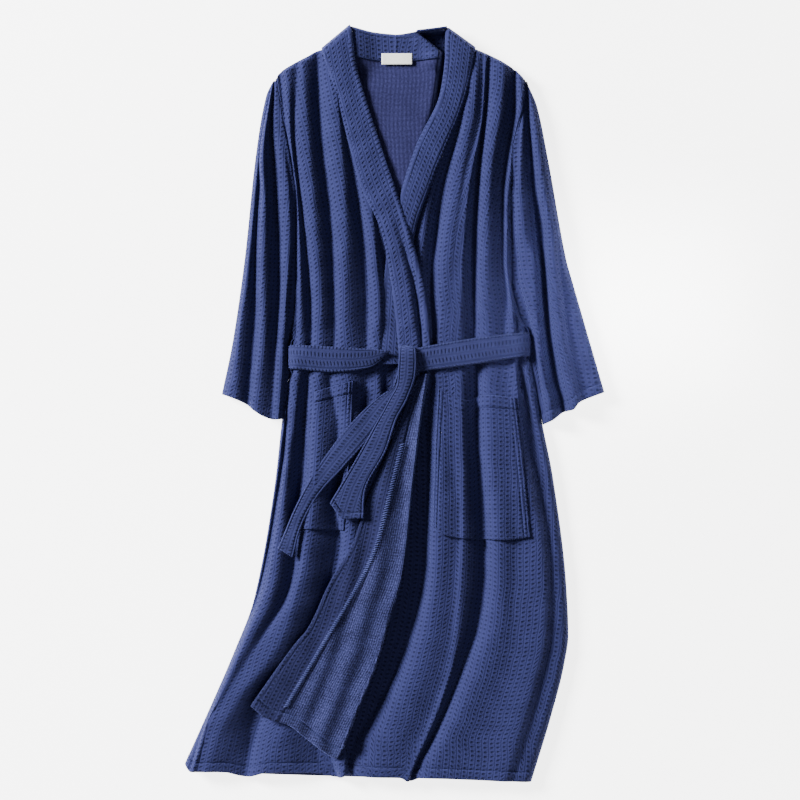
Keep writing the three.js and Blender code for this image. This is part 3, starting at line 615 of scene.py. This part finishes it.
LEFT_SLEEVE_FOLDS = Pleats([
    ("e", [(196, 487, 18), (188, 420, 20), (180, 303, 18), (186, 188, 15), (202, 126, 15), (212, 74, 16),
        (229, -40, 18)]),
    ("r", [(197, 487, 18), (192, 420, 22), (189, 320, 24), (196, 254, 25), (209, 216, 26), (211, 160, 27),
        (216, 104, 27), (223, 36, 27), (231, 6, 27), (237, -40, 26)]),
    ("v", [(198, 487, 17), (202, 430, 12), (208, 366, 12), (212, 329, 11), (218, 291, 10), (223, 254, 9),
        (224, 216, 9), (227, 179, 9), (233, 104, 9), (245, 36, 9), (253, 6, 11), (259, -40, 15)]),
    ("r", [(199, 487, 18), (211, 430, 23), (222, 340, 27), (236, 254, 30), (239, 216, 31), (242, 179, 31),
        (250, 104, 31), (262, 36, 31), (271, 6, 30), (276, -40, 28)]),
    ("v", [(199.5, 487, 17), (213, 430, 21), (226, 340, 24), (245, 254, 25), (251, 200, 24), (262, 120, 22),
        (282, 36, 22), (289, -40, 23)]),
    ("e", [(200, 487, 16), (218, 440, 18), (231, 369, 19), (259, 216, 19), (268, 184, 20), (316, 18, 22),
        (325, -40, 22)]),
])


def cinched(z, y):
    """Folds pressed down where the belt crosses them."""
    press = np.exp(-((y - 78) / 34) ** 4)
    return z + (np.minimum(z, CHEST_CEILING) * 0.72 + 5.4 - z) * press * 0.75


def right_front(x, y):
    """The surface of the wearer's right front, which lies on top."""
    return cinched(RIGHT_FOLDS.height(x, y), y) + 0.8 * ripple(x, y, 70, 3)


def left_front(x, y):
    """The surface of the wearer's left front."""
    return cinched(LEFT_FOLDS.height(x, y), y) + 0.8 * ripple(x, y, 75, 5)


# ---- The body ------------------------------------------------------------------------------------
def side_share(y):
    """How far a front's side edge is rolled down: a little at the armhole, fully below it."""
    return 0.35 + 0.65 * ease((330 - y) / 60)


stitched = {}               # runs of thread, by the piece of cloth that they are sewn in
pieces = {}


def keep(name, piece, node):
    """A piece that keeps to the robe, in place of one of the frame's solids."""
    pieces[name] = piece
    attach(piece, "robe")
    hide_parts(node)


upper_front = Patch(
    RIGHT_SHOULDER, RIGHT_HEM, RIGHT_ARMHOLE + RIGHT_SIDE[1:], RIGHT_FRONT_EDGE, right_front, hem=HEM)
upper_front.lower(upper_front.from_left, 13, SIDE_EDGE, side_share(upper_front.y))
upper_front.lower(upper_front.from_right, 5, 21, ease((40 - upper_front.y) / 30))
upper_front.lower(upper_front.from_top, 5, 17)
upper_front.groove(upper_front.from_left, 3.0, 1.8 * ease((upper_front.y - 290) / 20))
keep("front_right", sheet_piece("front_right", upper_front.grid(), cloth), "front_panel_right")
stitched["front_right"] = [upper_front.run(upper_front.from_bottom, HEM, -0.5)]

lower_front = Patch(
    LEFT_SHOULDER, LEFT_HEM, LEFT_FRONT_EDGE, LEFT_ARMHOLE + LEFT_SIDE[1:], left_front, hem=HEM)
lower_front.lower(lower_front.from_right, 13, SIDE_EDGE, side_share(lower_front.y))
lower_front.lower(lower_front.from_top, 5, 17)
lower_front.groove(lower_front.from_right, 3.0, 1.8 * ease((lower_front.y - 290) / 20))
keep("front_left", sheet_piece("front_left", lower_front.grid(), cloth), "front_panel_left")
stitched["front_left"] = [lower_front.run(lower_front.from_bottom, HEM, -0.5)]

BACK_NECK = [(-107, 534), (-62, 531), (2, 524), (68, 530), (119, 535)]
NECK_CENTRE = 2.0


def hollow_start(y):
    """Where the deep fold behind the wearer's left shoulder begins."""
    return 66 - 1.2 * np.clip(y - 530, 0, 40) - 0.13 * np.clip(528 - y, 0, 80)


def neck_hollow(x, y):
    """1 at the bottom of that fold, 0 outside it."""
    return ease((x - hollow_start(y)) / 7) * ease((y - 440) / 30)


def neck_height(x, y):
    """The band behind the neck: low at its middle, rising to the shoulders' folds."""
    side = np.abs(x - NECK_CENTRE) / 68
    z = 18.5 + 8.0 * ease((side - 0.3) / 0.6) ** 1.3 + 0.6 * np.sin(x / 9.0) * side
    return z + (30.5 - z) * hump(x, hollow_start(y), 15) * ease((x - 10) / 30)


def back_height(x, y):
    """The back lies flat, propped up by the collar in the neck, with the belt's back run under it."""
    opening = 1 - ease((np.abs(x - 5) - 0.315 * (y - 300)) / 28)
    neck = NECK_RISE * opening * ease((y - 255) / 45) * (1 - 0.4 * ease((y - 468) / 44))
    z = BACK_TOP + 1.2 * np.exp(-((y - 78) / 40) ** 4) + neck + 0.3 * np.sin(x / 7.5)
    z += (neck_height(x, y) - 4.2 - z) * opening * ease((y - 502) / 10)
    return z + (2.0 - z) * neck_hollow(x, y)


# The back is a little wider than the fronts where the belt draws them in.
BACK_RIGHT = [(min(x, -160.5) if 40 < y < 112 else x, y) for x, y in RIGHT_ARMHOLE + RIGHT_SIDE[1:]]
BACK_LEFT = [(max(x, 203.5) if 60 < y < 115 else x, y) for x, y in LEFT_ARMHOLE + LEFT_SIDE[1:]]
back = Patch(
    RIGHT_SHOULDER + BACK_NECK[1:] + LEFT_SHOULDER[1:],
    [(-316, -541), (-306, -552), (-222, -556), (8, -563), (206, -568)],
    BACK_RIGHT, BACK_LEFT, back_height, step=(3.0, 6.0), hem=HEM)
back_grid = back.grid()
back_grid[:, :, 2] = np.maximum(back_grid[:, :, 2], 2.0)
keep("back", sheet_piece("back", back_grid, back_lining, 1.2), "back_panel")


# ---- The sleeves ---------------------------------------------------------------------------------
def sleeve(name, top, cuff, left, right, joined, height):
    """A flattened tube: folded cloth above, flat cloth below, open at the cuff."""
    upper = Patch(top, cuff, left, right, height, hem=HEM)
    for side, distance in (("left", upper.from_left), ("right", upper.from_right)):
        free = ease((325 - upper.y) / 40) if side == joined else 1.0
        upper.lower(distance, 11, 9, 0.25 + 0.75 * free)
    upper.lower(upper.from_top, 4, 15, 0.8)
    over = upper.grid()
    under = over[:, ::-1].copy()
    under[:, :, 2] = 2.4 + 4.0 * np.abs(np.linspace(-1, 1, under.shape[1]))[None] ** 8
    step = max(1, over.shape[1] // 34)
    picked = sorted(set(range(0, over.shape[1], step)) | {over.shape[1] - 1})
    tube = np.concatenate([over, under[:, picked[1:]]], 1)
    tube[:, -1] = tube[:, 0]
    share = over.shape[1] / tube.shape[1] / 2
    piece = sheet_piece(name, tube, cloth, CLOTH, cloth_uv(tube, share))
    stitched[name] = [upper.run(upper.from_bottom, HEM, -0.5)]
    return piece


def right_sleeve_height(x, y):
    return RIGHT_SLEEVE_FOLDS.height(x, y) + 0.7 * ripple(x, y, 60, 7)


def left_sleeve_height(x, y):
    """Its folds, and the small stepped folds at its cuff."""
    steps = ease((60 - y) / 60) * 1.2 * np.sin((x - 229) / 5.2)
    return LEFT_SLEEVE_FOLDS.height(x, y) + 0.7 * ripple(x, y, 60, 9) + steps


right_arm = sleeve(
    "sleeve_right_cloth", [(-184, 484), (-182, 486), (-179, 487)], RIGHT_CUFF,
    [(-184, 484)] + RIGHT_SLEEVE_OUT[1:],
    [(x + ARMHOLE_LAP, y) for x, y in RIGHT_ARMHOLE] + RIGHT_SLEEVE_IN[1:], "right",
    right_sleeve_height)
left_arm = sleeve(
    "sleeve_left_cloth", [(196, 487), (199, 486), (202, 478)], LEFT_CUFF[::-1],
    [(x - ARMHOLE_LAP, y) for x, y in LEFT_ARMHOLE] + LEFT_SLEEVE_IN[1:],
    [(202, 478)] + LEFT_SLEEVE_OUT[1:], "left", left_sleeve_height)


# ---- The collar ----------------------------------------------------------------------------------
def band(inner, outer, lift, seed, rolls=(3.5, 2.6), drops=(3.0, 2.5)):
    """A band between its free inner edge and its seam: rolls and drops are for those two edges."""
    patch = Patch([inner[0], outer[0]], [inner[-1], outer[-1]], inner, outer, lambda x, y: 0 * x,
                  step=(1.8, 4.0))
    width = patch.from_left + patch.from_right
    across = patch.from_left / np.maximum(width, 1)
    patch.z = lift(patch.x, patch.y) + BAND_CREST * np.sin(np.pi * across) ** 0.7
    patch.z += 0.7 * ripple(patch.x, patch.y, 50, seed)
    patch.lower(patch.from_left, rolls[0], patch.z.mean() - drops[0])
    patch.groove(patch.from_left, 6.0, 0.9, 0.9)
    patch.groove(patch.from_right, 2.6, 1.6, 0.9)
    patch.z -= drops[1] * (1 - rounded(patch.from_right, rolls[1]))
    return patch


def right_band_lift(x, y):
    """The upper band: it rides over the other at the lap."""
    return 27.0 + 1.5 * ease((330 - y) / 80) + 1.2 * np.sin(y / 37.0)


def left_band_lift(x, y):
    """The lower band: it goes down under the other as it nears the waist."""
    return 26.5 - 8.5 * ease((290 - y) / 120) + 1.2 * np.sin(y / 41.0 + 1)


def sew_band(name, patch, node, turned):
    """Puts a band on the robe, with its two rows of thread; turned if its free edge is the left one."""
    grid = patch.grid()[:, ::-1] if turned else patch.grid()
    keep(name, sheet_piece(name, grid, cloth, BAND_THICK), node)
    stitched[name] = [patch.run(patch.from_left, 6.0), patch.run(patch.from_right, 2.6)]


# The upper band dips just behind its free edge, the more so the lower it is on the chest.
upper_band = band(RIGHT_BAND_IN, RIGHT_BAND_SEAM, right_band_lift, 21, (1.6, 2.6), (1.2, 2.5))
upper_band.lower(upper_band.from_top, 6, 20)
dip = 0.5 + 12.5 * ease((310 - upper_band.y) / 190)
upper_band.z -= dip * hump(upper_band.from_left, 13, 5.5)
upper_band.z += 1.2 * hump(upper_band.from_left, 3, 2.5)
upper_band.z = np.where(
    upper_band.y < 112, np.minimum(upper_band.z, CHEST_CEILING + 1), upper_band.z)
sew_band("band_right", upper_band, "collar_band_right", turned=False)

lower_band = band(LEFT_BAND_IN, LEFT_BAND_SEAM, left_band_lift, 23)
lower_band.lower(lower_band.from_top, 6, 20)
sew_band("band_left", lower_band, "collar_band_left", turned=True)

NECK_TOP = [(-66, 568), (-34, 560), (NECK_CENTRE, 556), (38, 559), (79, 564)]
NECK_SEAM = [(-62, 522), (-30, 516), (NECK_CENTRE, 514), (36, 516), (78, 520)]

# The band behind the neck is in two halves, with a raised seam between them.
for name, first, last, node in (("neck_band_right", 0, 3, "collar_band_right"),
                                ("neck_band_left", 2, 5, "collar_band_left")):
    top, seam = NECK_TOP[first:last], NECK_SEAM[first:last]
    patch = Patch(top, seam, [top[0], seam[0]], [top[-1], seam[-1]], neck_height, step=(1.8, 1.3))
    rim = ease((patch.x - 6) / 38)
    patch.z -= 6.5 * (1 - rim) * (1 - rounded(patch.from_top, 6))
    patch.z += (NECK_EDGE - patch.z) * rim * hump(patch.from_top, 0, 4.0)
    patch.z += (HOLLOW - patch.z) * neck_hollow(patch.x, patch.y) * ease(patch.from_top / 1.6)
    patch.groove(patch.from_top, 6.5, 0.9, 0.9)
    patch.z -= 2.2 * (1 - rounded(patch.from_bottom, 3.0))
    centre = patch.from_right if name == "neck_band_right" else patch.from_left
    patch.z += 1.4 * hump(centre, 0, 1.3)
    keep(name, sheet_piece(name, patch.grid(), cloth, 2.8), node)
    stitched[name] = [patch.run(patch.from_top, 6.5), patch.run(patch.from_bottom, 3.4)]

LABEL = (3.5, 518.5, 46.0, 17.0)        # its centre, width and height
LABEL_HEIGHT = 20.3
(label_x, label_y), label_wide, label_long = LABEL[:2], LABEL[2] / 2, LABEL[3] / 2
corners = {(a, b): (label_x + a * label_wide, label_y + b * label_long) for a in (-1, 1) for b in (-1, 1)}
label_patch = Patch(
    [corners[-1, 1], corners[1, 1]], [corners[-1, -1], corners[1, -1]],
    [corners[-1, 1], corners[-1, -1]], [corners[1, 1], corners[1, -1]],
    lambda x, y: LABEL_HEIGHT + 0.3 * np.sin(x / 8.0), step=(1.2, 1.2))
for edge in (label_patch.from_left, label_patch.from_right, label_patch.from_top, label_patch.from_bottom):
    label_patch.z -= 0.5 * (1 - rounded(edge, 1.4))
keep("label", sheet_piece("label", label_patch.grid(), tape, 0.7), "neck_label")


# ---- The pockets ---------------------------------------------------------------------------------
def pocket(name, outline, height, node, plain_left=False):
    """A patch of cloth sewn on the front, with a hemmed open mouth. A plain left edge lies in a fold."""
    patch = Patch(
        outline["top"], outline["bottom"], outline["left"], outline["right"], height, top_hem=POCKET_HEM)
    mouth = hump(patch.from_top, 0, 16.0)
    middle = np.sin(np.pi * patch.u)[None]
    patch.z += 4.0 + 1.0 * mouth * middle + 2.5 * hump(patch.from_bottom, 0, 12.0)
    sewn = [patch.from_right, patch.from_bottom]
    if plain_left:
        patch.z -= 3.8 * (1 - rounded(patch.from_left, 12.0))
    else:
        sewn.append(patch.from_left)
    for edge in sewn:
        patch.z -= 3.8 * (1 - rounded(edge, 2.8))
        patch.groove(edge, 3.6, 1.9, 0.9)
        patch.groove(edge, 9.0, 1.5, 0.9)
    keep(name, sheet_piece(name, patch.grid(), cloth, 1.3), node)
    stitched[name] = [patch.run(patch.from_top, POCKET_HEM)] + [
        patch.run(edge, inset) for edge in sewn for inset in (3.6, 9.0)]


pocket("pocket_right_cloth", RIGHT_POCKET, right_front, "pocket_right", plain_left=True)
pocket("pocket_left_cloth", LEFT_POCKET, left_front, "pocket_left")


# ---- The turned-back front edge --------------------------------------------------------------------
def seam_at(y):
    """Where the seam between the band and the front lies, across the turned-back edge."""
    return smooth([p[1] for p in TURN_BACK_SEAM[::-1]], [p[0] for p in TURN_BACK_SEAM[::-1]], y)


def flap_height(x, y):
    """It lies over the front in one long soft wave."""
    fold_x = smooth([-504, -442, -383, -317, -248, -112, -26, 46], [-74, -50, -26, -7, 13, 29, 40, 52], y)
    inside = fold_x - x
    wave = 2.3 * np.cos((inside + 2) / 42 * 2 * math.pi) * ease((96 - inside) / 30)
    band = 4.0 * ease((inside - 92) / 50) * ease((-195 - y) / 50)
    return FLAP - 1 + wave + band + 0.7 * ripple(x, y, 60, 31)


flap = Patch(
    [(33, 40), (42, 44), (52, 46)], TURN_BACK_HEM, TURN_BACK_EDGE, FOLD_LINE, flap_height, hem=FLAP_HEM)
past_seam = flap.x - seam_at(flap.y)
flap.z += 1.3 * hump(past_seam, -3.2, 3.4) - 1.6 * hump(0.88 * past_seam, 0, 1.0)
flap.z += 1.2 * hem_shape(flap.from_bottom, FLAP_HEM)
flap.z += 3.0 * hump(flap.from_right, 4.5, 3.0)
flap.z -= 1.6 * hump(flap.from_right, 15.0, 7.0)
flap.lower(flap.from_right, 4.5, 25.0)
flap.z -= 2.4 * (1 - rounded(flap.from_left, 4.0))
flap.groove(flap.from_left, 6.0, 0.9, 0.9)
flap_cloth = sheet_piece("turned_back_front", flap.grid(), wrong_side, 2.2)
flap_cloth.data.materials.append(band_cloth_painted_shade)
# Faces on the band's side of the seam take the darker copy of the cloth: painted shade.
for face in flap_cloth.data.polygons:
    face.material_index = int(face.center.x / MM < seam_at(face.center.y / MM))
pieces["turned_back_front"] = flap_cloth
stitched["turned_back_front"] = [
    flap.run(flap.from_bottom, FLAP_HEM), flap.run(flap.from_left, 6.0)]

# The seam's overlocking is a row of short slanted loops over the raw edge.
overlock = []
seam_line = along([(x, y, 0) for x, y in TURN_BACK_SEAM[1:-1]], np.linspace(0, 1, 116))
for x, y, _ in seam_line:
    row = [(x - 6.5, y - 1.4), (x + 2.5, y + 1.4)]
    overlock.append(np.array([(px, py, float(flap_height(np.array(px), np.array(py))) + 2.3)
                              for px, py in row]))

# ---- The belt ------------------------------------------------------------------------------------
BELT_RIGHT_TOP = [(-152, 89), (-60, 84), (-30, 82), (-8, 78.5)]
BELT_RIGHT_LOW = [(-152, 53), (-90, 48), (-40, 54), (-8, 75.5)]
BELT_LEFT_TOP = [(30, 84), (110, 98), (193, 108)]
BELT_LEFT_LOW = [(30, 48), (110, 58), (197, 72)]
BELT_THICK = 2.4


def belt_grid():
    """The belt round the waist as one strip: its path in x and z, with its upper and lower edge."""
    path = [(-8, 31.0), (-40, 31.6), (-90, 32.4), (-138, 31.6), (-151, 28.5), (-158, 20), (-158, 10),
            (-151, 3.4), (-135, 2.5), (0, 2.5), (181, 2.5), (195, 4), (201.5, 11), (201.5, 20), (195, 28),
            (182, 31.6), (110, 32.6), (60, 32.4), (30, 31.4)]
    steps = []
    for k in range(len(path) - 1):
        length = math.hypot(path[k + 1][0] - path[k][0], path[k + 1][1] - path[k][1])
        count = max(3, int(length / 3.0))
        steps += [k + i / count for i in range(count)]
    steps.append(len(path) - 1)
    knots = np.arange(len(path))
    x = smooth(knots, [p[0] for p in path], steps)
    z = smooth(knots, [p[1] for p in path], steps)
    over_right = np.array(steps) <= 6.5
    over_left = np.array(steps) >= 12.5
    behind = ease((x + 150) / 345)
    top, low = 89 + 19 * behind, 53 + 19 * behind
    for edges, chosen in (((BELT_RIGHT_TOP, BELT_RIGHT_LOW), over_right),
                          ((BELT_LEFT_TOP, BELT_LEFT_LOW), over_left)):
        a, b = (np.array(e, float) for e in edges)
        top = np.where(chosen, smooth(a[:, 0], a[:, 1], x), top)
        low = np.where(chosen, smooth(b[:, 0], b[:, 1], x), low)
    t = np.array([0, 0.015, 0.045, 0.085, 0.11, 0.14, 0.2, 0.3, 0.4, 0.5, 0.6, 0.7, 0.8, 0.86, 0.89,
                  0.915, 0.955, 0.985, 1.0])
    y = top[:, None] + (low - top)[:, None] * t
    outward = np.gradient(x), np.gradient(z)
    size = np.hypot(*outward)
    nx, nz = -outward[1] / size, outward[0] / size
    inset = np.minimum(t, 1 - t)
    swell = 1.3 - 2.6 * (inset < 0.02) - 1.3 * hump(inset, 0.11, 0.02)
    face = np.where(over_right | over_left, 1.0, 0.15)[:, None] * swell[None]
    lift = 0.5 * np.sin(x / 16.0)[:, None] * (over_right | over_left)[:, None]
    lift = lift - 7.0 * (t - 0.5)[None] * (ease((x + 150) / 20) * over_right)[:, None]
    # The path runs clockwise seen from the foot, so its outward side is opposite the normal there.
    px = x[:, None] - nx[:, None] * face
    pz = z[:, None] - nz[:, None] * face + lift
    return np.stack([px, y, pz], 2)


keep("belt_round_waist", sheet_piece("belt_round_waist", belt_grid(), belt_cloth, BELT_THICK), "belt_wrap")


def tail(name, top, bottom, left, right, height, hem=9.0, seed=41):
    patch = Patch(top, bottom, left, right, lambda x, y: height(x, y) + 0.4 * ripple(x, y, 40, seed),
                  step=(1.8, 3.2), hem=hem)
    for edge in (patch.from_left, patch.from_right):
        patch.z -= 2.2 * (1 - rounded(edge, 2.2))
        patch.groove(edge, 3.6, 1.4, 0.9)
    stitched[name] = [patch.run(patch.from_left, 3.6), patch.run(patch.from_right, 3.6),
                      patch.run(patch.from_bottom, hem)]
    return patch


def over_tail_height(x, y):
    """Over the knot, then down on to the turned-back front, then on to the belt's other end."""
    along_y = smooth([-175, -120, -60, -10, 20, 40, 55, 68, 78, 84, 86],
                     [39, 39.5, 40, 40.5, 41.5, 44, 46.6, 47, 45, 40, 34], y)
    centre = smooth([-170, -60, 0, 40, 86], [-60, -30, 4, 17, 18], y)
    return along_y + 1.6 * np.cos((x - centre) / 8.0) * ease((y + 40) / 60)


def under_tail_height(x, y):
    lift = smooth([-230, -140, -60, 0, 40], [32.5, 33.5, 34.5, 35, 36], y)
    return lift + 0.8 * np.cos(x / 11.0)


over = tail(
    "belt_end_over_cloth", [(7, 86), (12, 88), (26, 87), (32, 84)], [(-97, -148), (-75, -172), (-46, -171)],
    [(7, 86), (6, 66), (4, 33), (-9, 6), (-29, -30), (-58, -82), (-97, -148)],
    [(32, 84), (33, 62), (32, 45), (20, 8), (4, -22), (-10, -65), (-44, -136), (-46, -171)],
    over_tail_height)
under = tail(
    "belt_end_under_cloth", [(3, 44), (12, 46), (24, 44)], [(-175, -216), (-152, -230)],
    [(3, 44), (-3, 25), (-26, 9), (-66, -29), (-121, -103), (-146, -148), (-175, -216)],
    [(24, 44), (12, 26), (0, 10), (-34, -46), (-54, -70), (-77, -95), (-118, -143), (-142, -191),
     (-152, -230)],
    under_tail_height, seed=43)
for name, patch in (("belt_end_over_cloth", over), ("belt_end_under_cloth", under)):
    pieces[name] = sheet_piece(name, patch.grid(), belt_cloth, BELT_THICK)


def knot_core():
    """The belt's own turn inside the knot: a rolled strip lying under the strand."""
    turn = np.linspace(0, 2 * math.pi, 33)
    grid = []
    for v in np.linspace(0, 1, 22):
        y = 84.5 - 38 * v
        fat = 0.55 + 0.45 * math.sin(math.pi * min(max(v, 0.06), 0.94)) ** 0.5
        ring = []
        for a in turn:
            ring.append((19 + 11.5 * fat * math.cos(a), y, 37.0 + 5.2 * fat * math.sin(a)))
        grid.append(ring)
    return np.array(grid)[:, ::-1]


keep("belt_knot_turn", sheet_piece("belt_knot_turn", knot_core(), belt_cloth, 2.2), "belt_knot")


# ---- The belt loops --------------------------------------------------------------------------------
def belt_loop(name, low, high):
    """A narrow strip standing off a side seam at mid height; low and high are its opposite corners."""
    outer, inner = (high[0], low[0]) if low[0] > 0 else (low[0], high[0])
    sign = 1 if outer > inner else -1
    grid = []
    for v in np.linspace(0, 1, 26):
        y = high[1] + (low[1] - high[1]) * v
        out = (abs(outer - inner) - 2.2) * math.sin(math.pi * v) ** 0.3
        middle = (low[2] + high[2]) / 2
        half = (high[2] - low[2]) / 2 + 1.5
        grid.append([
            (inner + sign * (out + 0.5 * math.cos(s * math.pi / 2)), y, middle + half * s)
            for s in np.linspace(-1, 1, 9)])
    return sheet_piece(name, np.array(grid), cloth, 1.2)


for name, node in (("belt_loop_right_cloth", "belt_loop_right"), ("belt_loop_left_cloth", "belt_loop_left")):
    low, high = (np.array(corner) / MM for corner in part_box(node))
    keep(name, belt_loop(name, low, high), node)


# ---- The moving pieces, and the stitching on every piece -------------------------------------------
def metres(x, y, z):
    return (x * MM, y * MM, z * MM)


# For each moving piece: its joint's body, a start, an end and the frame's solids that it stands for.
MOVING = {
    "sleeve_right_cloth": (
        "sleeve_right", (-182, 305, 12), (-194, 165, 12), ("sleeve_right_upper", "sleeve_right_lower")),
    "sleeve_left_cloth": (
        "sleeve_left", (207, 305, 12), (231, 165, 12), ("sleeve_left_upper", "sleeve_left_lower")),
    "turned_back_front": (
        "turned_front", (-56, -356, 36), (-82, -355, 36),
        ("front_fold_edge", "front_turn_back", "collar_band_turned", "collar_band_folded")),
    "belt_end_over_cloth": (
        "belt_end_over", (16, 48, 38), (5, 18, 38), ("belt_knot", "belt_tail_over")),
    "belt_end_under_cloth": ("belt_end_under", (10, 40, 34), (-12, 12, 34), ("belt_tail_under",))}


def follow(piece, name):
    """Treats a piece as the named piece of cloth is treated: a moving piece's placement is fixed into its
    mesh, any other keeps to the robe.
    """
    if name in MOVING:
        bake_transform(piece)
    else:
        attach(piece, "robe")


pieces["sleeve_right_cloth"], pieces["sleeve_left_cloth"] = right_arm, left_arm
for name, (_, _, _, nodes) in MOVING.items():
    follow(pieces[name], name)
    for node in nodes:
        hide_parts(node)
for name, runs in stitched.items():
    follow(stitch_piece(name + "_stitching", runs, thread), name)
follow(
    stitch_piece("overlocked_seam", overlock, overlock_thread, length=8.6, gap=0.1, radius=1.0),
    "turned_back_front")

# ---- The floor, the light and the camera -----------------------------------------------------------
bpy.ops.mesh.primitive_plane_add(size=12, location=(0, 0, -0.0006))
floor = bpy.context.object
floor.name = "floor"
pale = bpy.data.materials.new("floor")
pale.use_nodes = True
for socket, value in (("Base Color", (0.93, 0.93, 0.94, 1)), ("Roughness", 0.9),
                      ("Emission Color", (1, 1, 1, 1)), ("Emission Strength", 4.0)):
    pale.node_tree.nodes["Principled BSDF"].inputs[socket].default_value = value
floor.data.materials.append(pale)


def soft_light(name, place, size, watts, aim=(0, 0, 0), spread=math.pi):
    light = bpy.data.lights.new(name, "AREA")
    light.spread = spread
    light.size = size
    light.energy = watts
    lamp = bpy.data.objects.new(name, light)
    bpy.context.scene.collection.objects.link(lamp)
    lamp.location = place
    lamp.rotation_euler = (Vector(aim) - Vector(place)).to_track_quat("-Z", "Y").to_euler()


soft_light("key", (-5.0, 2.5, 3.35), 2.0, 1980)
soft_light("fill", (0.4, -1.0, 2.0), 1.4, 14, (0, -0.3, 0))
soft_light("edge", (0.68, 0.16, 0.42), 0.25, 0.7, (0.36, 0.15, 0.02), 0.6)
world = bpy.data.worlds.new("studio")
bpy.context.scene.world = world
world.use_nodes = True
world.node_tree.nodes["Background"].inputs["Color"].default_value = (1, 1, 1, 1)
world.node_tree.nodes["Background"].inputs["Strength"].default_value = 0.14

view = bpy.data.cameras.new("camera")
view.sensor_width = SENSOR
view.lens = SENSOR * (CAMERA_HEIGHT - FOLD_HEIGHT) / VIEW_WIDTH
view.clip_end = 30
camera = bpy.data.objects.new("camera", view)
camera.location = metres(*VIEW_CENTRE, CAMERA_HEIGHT)
bpy.context.scene.collection.objects.link(camera)
bpy.context.scene.camera = camera
